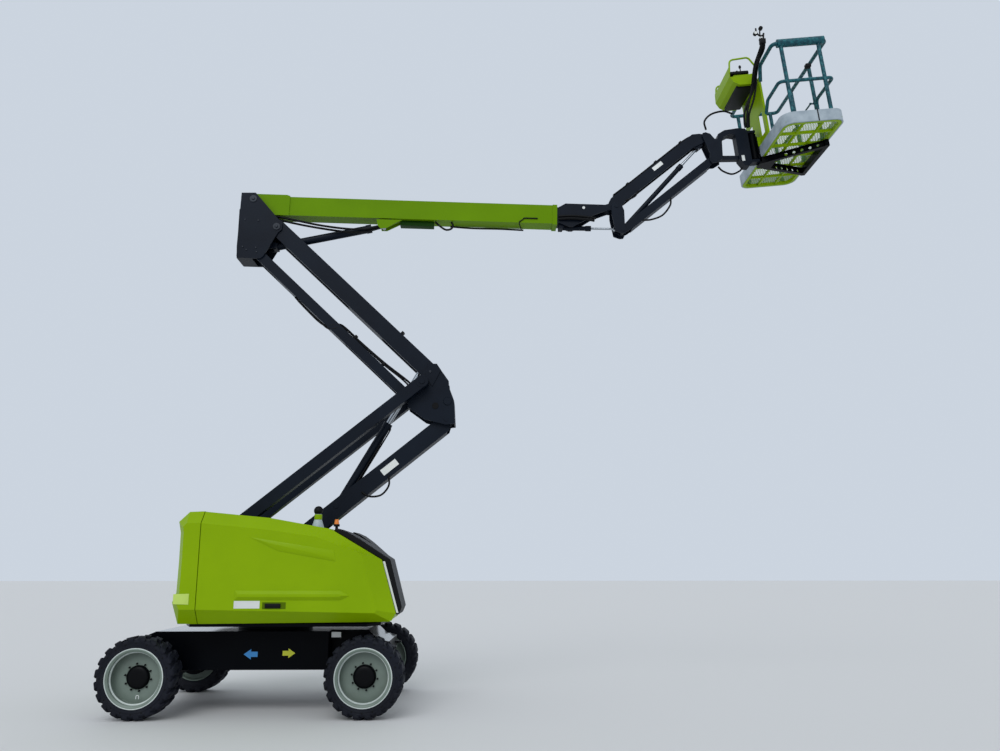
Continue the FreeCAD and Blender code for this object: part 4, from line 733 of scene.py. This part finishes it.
def make_hoses():
    """Hydraulic hoses and harnesses, each a round section carried along a smooth line."""
    # name, body, line, radius, places (along, above, across)
    table = [
        ("link_hose_a", "upper_link", link_at, 0.013,
         [(0.08, -0.130, -0.085), (0.25, -0.142, -0.088), (0.60, -0.108, -0.086), (1.00, -0.088, -0.088),
          (1.30, -0.084, -0.100), (1.39, -0.050, -0.134), (1.48, 0.060, -0.134), (1.60, 0.088, -0.100),
          (1.80, 0.086, -0.090), (2.00, 0.078, -0.086)]),
        ("link_hose_b", "upper_link", link_at, 0.012,
         [(0.10, -0.100, -0.098), (0.30, -0.112, -0.098), (0.62, -0.084, -0.104), (1.02, -0.078, -0.104),
          (1.26, -0.078, -0.106), (1.34, -0.040, -0.136), (1.43, 0.066, -0.136), (1.56, 0.080, -0.106),
          (1.78, 0.084, -0.100), (2.05, 0.074, -0.098)]),
        ("boom_hose_a", "boom", boom_at, 0.014,
         [(0.22, -0.215, -0.075), (0.45, -0.272, -0.085), (0.80, -0.335, -0.088), (1.20, -0.382, -0.088),
          (1.45, -0.372, -0.085), (1.66, -0.300, -0.080), (1.74, -0.205, -0.075)]),
        ("boom_hose_b", "boom", boom_at, 0.014,
         [(0.30, -0.205, -0.100), (0.55, -0.255, -0.108), (0.90, -0.318, -0.112), (1.25, -0.352, -0.112),
          (1.50, -0.338, -0.108), (1.70, -0.262, -0.104), (1.78, -0.195, -0.100)]),
        ("boom_hose_loop", "boom", boom_at, 0.013,
         [(2.36, -0.198, -0.060), (2.42, -0.255, -0.066), (2.50, -0.305, -0.070), (2.57, -0.290, -0.070),
          (2.59, -0.240, -0.066), (2.57, -0.196, -0.060)]),
        ("boom_hose_under", "boom", boom_at, 0.011,
         [(2.55, -0.200, 0.085), (2.85, -0.212, 0.088), (3.20, -0.210, 0.086), (3.52, -0.216, 0.088)]),
        ("boom_side_wire", "boom", boom_at, 0.007,
         [(3.694, -0.128, -0.121), (3.530, -0.131, -0.121), (3.50, -0.150, -0.121), (3.455, -0.196, -0.121),
          (3.490, -0.300, -0.110)]),
        ("jib_link_loop", "jib_link", jib_low_at, 0.012,
         [(0.30, -0.055, -0.066), (0.40, -0.125, -0.074), (0.55, -0.170, -0.078), (0.72, -0.130, -0.074),
          (0.80, -0.055, -0.066)]),
        ("head_under_hose", "jib_head", platform_at, 0.012,
         [(-1.010, -0.100, -0.090), (-0.960, -0.170, -0.100), (-0.850, -0.225, -0.105),
          (-0.740, -0.190, -0.100), (-0.690, -0.140, -0.085)]),
        ("bracket_hose", "jib_arm", jib_at, 0.010,
         [(0.16, -0.010, -0.070), (0.22, -0.034, -0.078), (0.30, -0.046, -0.080), (0.38, -0.012, -0.070)]),
        ("panel_cable_a", "platform", plain_at, 0.016,
         [(3.322, 8.160, -0.900), (3.314, 8.058, -0.880), (3.295, 7.955, -0.700), (3.330, 7.938, -0.500),
          (3.341, 7.845, -0.410), (3.325, 7.729, -0.385), (3.206, 7.441, -0.375),
          (3.200, 7.290, -0.345), (3.212, 7.215, -0.330)]),
        ("panel_cable_b", "platform", plain_at, 0.015,
         [(3.300, 8.140, -0.925), (3.285, 8.030, -0.880), (3.270, 7.930, -0.700), (3.300, 7.900, -0.520),
          (3.310, 7.800, -0.420), (3.290, 7.680, -0.400), (3.235, 7.430, -0.385),
          (3.232, 7.290, -0.350), (3.240, 7.210, -0.335)]),
        ("panel_cable_c", "platform", plain_at, 0.013,
         [(3.345, 8.120, -0.880), (3.335, 8.020, -0.850), (3.322, 7.960, -0.680), (3.355, 7.900, -0.470),
          (3.362, 7.780, -0.400), (3.330, 7.600, -0.378), (3.262, 7.400, -0.370),
          (3.258, 7.290, -0.345), (3.262, 7.220, -0.330)]),
        ("nose_wrap_a", "extension", boom_at, 0.017,
         [(3.97, -0.120, -0.105), (4.12, -0.112, -0.118), (4.30, -0.116, -0.120), (4.44, -0.132, -0.116)]),
        ("nose_wrap_b", "extension", boom_at, 0.015,
         [(3.97, -0.082, -0.105), (4.14, -0.076, -0.118), (4.30, -0.082, -0.120), (4.46, -0.098, -0.116)]),
        ("riser_pipe_a", "riser_barrel", barrel_at, 0.009,
         [(0.16, -0.062, -0.020), (0.26, -0.070, -0.034), (0.70, -0.071, -0.035), (1.08, -0.070, -0.034),
          (1.15, -0.060, -0.026)]),
        ("riser_pipe_b", "riser_barrel", barrel_at, 0.009,
         [(0.16, -0.048, -0.042), (0.26, -0.056, -0.058), (0.70, -0.057, -0.058), (0.95, -0.056, -0.058),
          (1.02, -0.046, -0.046)]),
        ("link_hose_loop", "lower_link", lower_link_at, 0.012,
         [(1.60, -0.060, -0.120), (1.64, -0.160, -0.134), (1.76, -0.235, -0.138), (1.90, -0.205, -0.136),
          (1.98, -0.100, -0.122)]),
        ("jib_hose_a", "jib_arm", jib_at, 0.011,
         [(0.10, 0.158, -0.030), (0.45, 0.152, -0.032), (0.9, 0.155, -0.028), (1.35, 0.151, -0.032),
          (1.52, 0.120, -0.034)]),
        ("jib_hose_b", "jib_arm", jib_at, 0.011,
         [(0.10, 0.156, 0.004), (0.45, 0.152, 0.002), (0.9, 0.154, 0.006), (1.35, 0.151, 0.002),
          (1.52, 0.122, 0.000)]),
        ("head_hose", "jib_head", jib_at, 0.013,
         [(1.66, 0.060, -0.105), (1.72, 0.160, -0.118), (1.86, 0.180, -0.120), (2.02, 0.110, -0.118),
          (2.10, 0.010, -0.100)]),
    ]
    for name, body, at, radius, places in table:
        piece(name, hose(at(places), radius), hose_rubber, body)


def clamps(name, at, stations, low, high, body):
    """The same small block at each station along a line, between (above, across) corners."""
    one = block((-0.018, low[1], low[0]), (0.018, high[1], high[0]), 0.003, 0.001, 3)
    piece(name, framed(at, spread(one, [(station, 0, 0) for station in stations])), black_plastic, body)


def pin_ends(name, place, body, radius=0.046, hexagon=0.020):
    """Pin's end: a keeper plate's washer with a domed bolt, facing -Y."""
    profile = [(0.0, 0.018), (hexagon * 0.8, 0.0175), (hexagon, 0.012), (hexagon, 0.006),
               (radius, 0.0055), (radius, 0.0), (0.0, 0.0)]
    part = moved(mirrored(spun(profile, 32)), (place[0], pin_face, place[1]))
    piece(name, part, steel_dark, body)


def make_boom_fittings():
    """Side hatch, mark, ledge, the cylinder's lug, the keel behind it in painted shade, pin ends and the
    nose's dot.
    """
    # Hatch and lug in the boom's darker lime of painted shade
    hatch = side_plate(oblong(0.31, -0.060, 0.43, 0.045), -0.1185, -0.110, 0.04)
    piece("boom_hatch", framed(boom_at, hatch), shaded_boom_lime, "boom")
    mark = side_plate(oblong(0.145, -0.075, 0.175, -0.035), -0.1150, -0.110)
    piece("boom_mark", framed(boom_at, mark), black_plastic, "boom")
    ledge = block((3.515, -0.124, -0.136), (3.695, -0.112, -0.120), 0.004, 0.002)
    piece("boom_ledge", framed(boom_at, ledge), tray_black, "boom")
    lug = [(1.60, -0.215), (1.93, -0.215), (1.84, -0.262), (1.74, -0.330), (1.66, -0.340), (1.62, -0.300)]
    piece("boom_lug", framed(boom_at, side_plate(lug, -0.1380, -0.1280)), shaded_boom_lime, "boom")
    # Keel: a dark green plate, painted shade below the boom
    keel = block((1.90, -0.060, -0.255), (2.34, 0.060, -0.185), 0.006, 0.003)
    piece("boom_keel", framed(boom_at, keel), boom_shadow, "boom")
    pin_ends("boom_pin_end", boom_foot, "upright")
    pin_ends("upper_top_pin_end", upper_top, "upright")
    pin_ends("upper_foot_pin_end", upper_foot, "knuckle")
    dot = mirrored(spun([(0.0, 0.004), (0.018, 0.0035), (0.019, 0.0), (0.0, 0.0)], 24))
    spot = boom_at([(4.30, 0.055, 0)])[0]
    piece("nose_dot", moved(dot, (spot[0], -0.091, spot[2])), label_white, "extension")


def make_plates():
    """Blank plates where the real machine carries printed ones."""
    # Name, body, line, face across, and corners along and above
    table = [
        ("jib_plate", "jib_arm", jib_at, -0.065, (0.74, 0.062, 0.90, 0.116)),
        ("bracket_plate", "jib_bracket", boom_at, -0.1005, (4.77, -0.115, 4.81, -0.045)),
        ("link_plate", "lower_link", lower_link_at, -0.112, (1.93, -0.070, 2.16, 0.012)),
        ("head_plate", "jib_head", platform_at, -0.072, (-0.665, -0.035, -0.625, 0.045)),
    ]
    for name, body, at, face, corners in table:
        plate = side_plate(oblong(*corners), face - 0.0015, face + 0.001)
        piece(name, framed(at, plate), label_white, body)


def make_floor_mesh():
    """See-through floor: two families of thin strips that cross as diamonds inside the frame."""
    half_x, half_y = 0.366, 0.941
    pitch_x, pitch_y = 0.034, 0.075
    slope = pitch_y / pitch_x
    strips = []
    count = int((2 * half_y + 2 * half_x * slope) / pitch_y)
    start = -half_y - 2 * half_x * slope + (np.arange(count) + 0.5) * pitch_y
    for way in (1, -1):
        y0 = start
        x0 = np.maximum(-half_x, -half_x + (-half_y - y0) / slope)
        x1 = np.minimum(half_x, -half_x + (half_y - y0) / slope)
        keep = x1 - x0 > 0.01
        x0, x1, y0 = x0[keep], x1[keep], y0[keep]
        ends = np.stack([np.stack([x0, y0 + (x0 + half_x) * slope], -1),
                         np.stack([x1, y0 + (x1 + half_x) * slope], -1)], 1)
        ends[..., 1] *= way
        run = ends[:, 1] - ends[:, 0]
        side = np.stack([-run[:, 1], run[:, 0]], -1) / np.linalg.norm(run, axis=1, keepdims=True) * 0.0026
        ring = np.stack([ends[:, 0] + side, ends[:, 0] - side, ends[:, 1] - side, ends[:, 1] + side], 1)
        strips.append(ring)
    ring = np.concatenate(strips)
    low = np.concatenate([ring, np.full(ring.shape[:2] + (1,), 0.0415)], -1)
    high = np.concatenate([ring, np.full(ring.shape[:2] + (1,), 0.0450)], -1)
    points = np.concatenate([low, high], 1)
    corner = np.array([(3, 2, 1, 0), (4, 5, 6, 7), (0, 1, 5, 4), (1, 2, 6, 5), (2, 3, 7, 6), (3, 0, 4, 7)])
    faces = (corner[None] + 8 * np.arange(len(points))[:, None, None]).reshape(-1, 4)
    flat = points.reshape(-1, 3)
    placed = platform_at(flat[:, [0, 2, 1]])
    if volume(placed - placed.mean(0), [faces]) < 0:
        faces = faces[:, ::-1]
    piece("floor_mesh", (placed, [faces]), lime, "platform")


def make_platform_fittings():
    """Strap on the toe board, clamp on the rails, and the console's panel, underside and controls."""
    x, board_face = 0.035, -board_half_length
    strap = block((x, board_face - 0.006, 0.002), (x + 0.014, board_face + 0.004, 0.158), 0.003, 0.0015)
    piece("board_strap_a", framed(platform_at, strap), tray_black, "platform")
    rail_y = -(board_half_length - rail_inset)
    clamp = block((0.020, rail_y - 0.034, 0.762), (0.088, rail_y + 0.034, 0.806), 0.010, 0.004)
    piece("rail_clamp", framed(platform_at, clamp), tray_black, "platform")
    panel = block((-0.700, -0.215, 1.165), (-0.420, 0.215, 1.205), 0.020, 0.006)
    piece("console_panel", framed(platform_at, panel), black_plastic, "platform")
    under = block((-0.655, -0.300, 0.905), (-0.430, 0.300, 1.000), 0.012, 0.004)
    piece("console_under", framed(platform_at, under), black_plastic, "platform")
    panel_top = 1.203
    stick = upright_spin([(0.0, 0.0), (0.024, 0.0), (0.020, 0.012), (0.011, 0.030), (0.007, 0.055),
                          (0.007, 0.085), (0.016, 0.092), (0.018, 0.112), (0.012, 0.128), (0.0, 0.132)], 24)
    sticks = spread(stick, [(-0.50, y, panel_top) for y in (-0.13, 0.0, 0.13)])
    piece("console_levers", framed(platform_at, sticks), black_plastic, "platform")
    knob = upright_spin([(0.0, 0.0), (0.020, 0.0), (0.020, 0.010), (0.013, 0.016), (0.026, 0.022),
                         (0.028, 0.034), (0.0, 0.040)], 32)
    stop = moved(knob, (-0.60, -0.12, panel_top))
    piece("console_stop", framed(platform_at, stop), stop_red, "platform")


def make_sensor_post():
    """Post on the rail's end above the controls: two branches and three lamp heads, two with pale faces."""
    y = -0.905
    post = hose([(3.318, y, 8.080), (3.322, y, 8.160), (3.330, y, 8.222)], 0.012, 6, (1, 0, 0))
    arm = hose([(3.330, y, 8.200), (3.280, y, 8.185), (3.240, y, 8.230), (3.232, y, 8.290)], 0.010)
    top = hose([(3.280, y, 8.185), (3.284, y, 8.260), (3.300, y, 8.310)], 0.009, 6)
    foot = block((3.272, y - 0.030, 8.070), (3.345, y + 0.030, 8.135), 0.008, 0.003)
    piece("sensor_post", together([post, arm, top, foot]), black_plastic, "platform")
    head = [(0.0, 0.018), (0.020, 0.016), (0.026, 0.008), (0.026, -0.022), (0.0, -0.026)]
    spots = np.array([(3.226, -0.900, 8.222), (3.296, -0.900, 8.140), (3.300, -0.900, 8.300)])
    piece("sensor_heads", spread(turned_over(spun(head, 24)), spots), black_plastic, "platform")
    face = turned_over(spun([(0.0, 0.006), (0.018, 0.005), (0.020, 0.0), (0.0, 0.0)], 24))
    piece("sensor_faces", spread(face, spots[:2] + np.array([0, -0.016, 0])), label_white, "platform")


def make_open_floor():
    """Platform floor without its sheet: a rounded rim and the cross bars.

    The rim's rows are one rounded rectangle at its outer low and high edges and its inner high and
    low ones.
    """
    half_x, half_y, high = 0.379, 0.954, 0.045
    rim_width, bar_half, bar_inset = 0.040, 0.012, 0.020
    rings = []
    for drawn, level in ((0, 0), (0, high), (rim_width, high), (rim_width, 0), (0, 0)):
        ring = rounded_outline(2 * (half_x - drawn), 2 * (half_y - drawn), 0.130 - drawn, 9)
        rings.append(np.concatenate([ring, np.full((len(ring), 1), level)], 1))
    rim = shell(np.stack(rings), capped=False)
    end_x, end_y = half_x - bar_inset, half_y - bar_inset
    bars = [block((x - bar_half, -end_y, 0.008), (x + bar_half, end_y, high - 0.004))
            for x in (-0.125, 0.125)]
    bars += [block((-end_x, y - bar_half, 0.004), (end_x, y + bar_half, high - 0.0045))
             for y in (-0.64, -0.32, 0, 0.32, 0.64)]
    made = piece("open_floor", framed(platform_at, together([rim] + bars)), lime, "platform")
    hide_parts("platform_floor")


def make_knuckle_marks():
    """Hole as a flat dark disc of painted shade, and a boss, on the knuckle's near face, and small bolts on
    the upright.
    """
    # Name, profile, place from the axis, material
    rounds = [
        # The hole: a flat disc, painted shade of the hollow
        ("knuckle_hole", [(0.0, 0.0020), (0.038, 0.0018), (0.040, 0.0), (0.0, 0.0)],
         1.856, 3.503, hollow_shade_black),
        ("knuckle_boss", [(0.0, 0.0060), (0.046, 0.0058), (0.052, 0.0), (0.0, 0.0)],
         2.005, 3.561, charcoal),
    ]
    for name, profile, x, z, material in rounds:
        part = turned_over(spun(profile, 32))
        piece(name, moved(part, (x + slew_x, knuckle_face, z)), material, "knuckle")
    bolt = turned_over(spun([(0.0, 0.006), (0.009, 0.0055), (0.010, 0.0), (0.0, 0.0)], 6))
    spots = [(x, knuckle_face, z) for x, z in ((-3.31, 5.93), (-3.14, 5.92), (-3.32, 5.56),
                                               (-3.27, 5.52), (-3.15, 5.55), (-3.14, 5.49))]
    piece("upright_bolts", spread(bolt, spots), steel_dark, "upright")


def set_camera():
    """Camera at a standing viewer's eye, tilted up as the photograph was."""
    data = bpy.data.cameras.new("camera")
    data.sensor_width = sensor_width
    data.lens = focal_pixels / image_width * sensor_width
    data.clip_end = 300
    camera = bpy.data.objects.new("camera", data)
    camera.location = camera_place
    camera.rotation_euler = (math.radians(90 + camera_pitch), 0, math.radians(camera_yaw))
    bpy.context.scene.collection.objects.link(camera)
    bpy.context.scene.camera = camera


def set_stage():
    """Plain pale floor."""
    half = 60.0
    mesh = bpy.data.meshes.new("stage_floor")
    corners = [(u, v, 0) for u, v in oblong(-half, -half, half, half)]
    mesh.from_pydata(corners, [], [(0, 1, 2, 3)])
    floor = bpy.data.objects.new("stage_floor", mesh)
    bpy.context.scene.collection.objects.link(floor)
    material = bpy.data.materials.new("stage_pale")
    tree = node_tree(material)
    shader = tree.nodes.new("ShaderNodeBsdfPrincipled")
    out = tree.nodes.new("ShaderNodeOutputMaterial")
    shader.inputs["Base Color"].default_value = (0.62, 0.63, 0.64, 1)
    shader.inputs["Roughness"].default_value = 0.7
    tree.links.new(shader.outputs["BSDF"], out.inputs["Surface"])
    mesh.materials.append(material)


def set_world():
    """Soft even sky: one level for lighting, a pale grey one for what the camera and gloss see."""
    world = bpy.data.worlds.new("sky")
    bpy.context.scene.world = world
    world.use_nodes = True
    tree = world.node_tree
    tree.nodes.clear()
    out = tree.nodes.new("ShaderNodeOutputWorld")
    light = tree.nodes.new("ShaderNodeBackground")
    light.inputs["Color"].default_value = (0.90, 0.95, 1.0, 1)
    light.inputs["Strength"].default_value = 0.75
    seen = tree.nodes.new("ShaderNodeBackground")
    seen.inputs["Color"].default_value = (0.60, 0.66, 0.74, 1)
    seen.inputs["Strength"].default_value = 1.0
    path = tree.nodes.new("ShaderNodeLightPath")
    share = path.outputs["Is Camera Ray"]
    for kind in ("Is Glossy Ray", "Is Transmission Ray"):
        most = tree.nodes.new("ShaderNodeMath")
        most.operation = "MAXIMUM"
        tree.links.new(share, most.inputs[0])
        tree.links.new(path.outputs[kind], most.inputs[1])
        share = most.outputs["Value"]
    mix = tree.nodes.new("ShaderNodeMixShader")
    tree.links.new(share, mix.inputs["Fac"])
    tree.links.new(light.outputs["Background"], mix.inputs[1])
    tree.links.new(seen.outputs["Background"], mix.inputs[2])
    tree.links.new(mix.outputs["Shader"], out.inputs["Surface"])


def set_lamp():
    """One broad key from above and in front, as bright cloud."""
    data = bpy.data.lights.new("key", "SUN")
    data.energy = 1.1
    data.angle = math.radians(40)
    lamp = bpy.data.objects.new("key", data)
    lamp.rotation_euler = (math.radians(48), math.radians(-14), 0)
    bpy.context.scene.collection.objects.link(lamp)


set_camera()
make_wheels()
make_chassis_marks()
make_hood_forms()
make_signals()
make_hoses()
clamps("link_clips", link_at, (0.62, 1.12), (-0.116, -0.118), (-0.062, -0.074), "upper_link")
clamps("arm_block", upper_at, (0.63,), (-0.150, -0.070), (-0.090, 0.010), "upper_arm")
clamps("jib_clips", jib_at, (0.35, 0.85, 1.30), (0.136, -0.050), (0.172, 0.022), "jib_arm")
make_boom_fittings()
make_plates()
make_open_floor()
make_floor_mesh()
make_sensor_post()
make_knuckle_marks()
make_platform_fittings()
set_stage()
set_world()
set_lamp()
bpy.context.scene.view_settings.view_transform = "Standard"
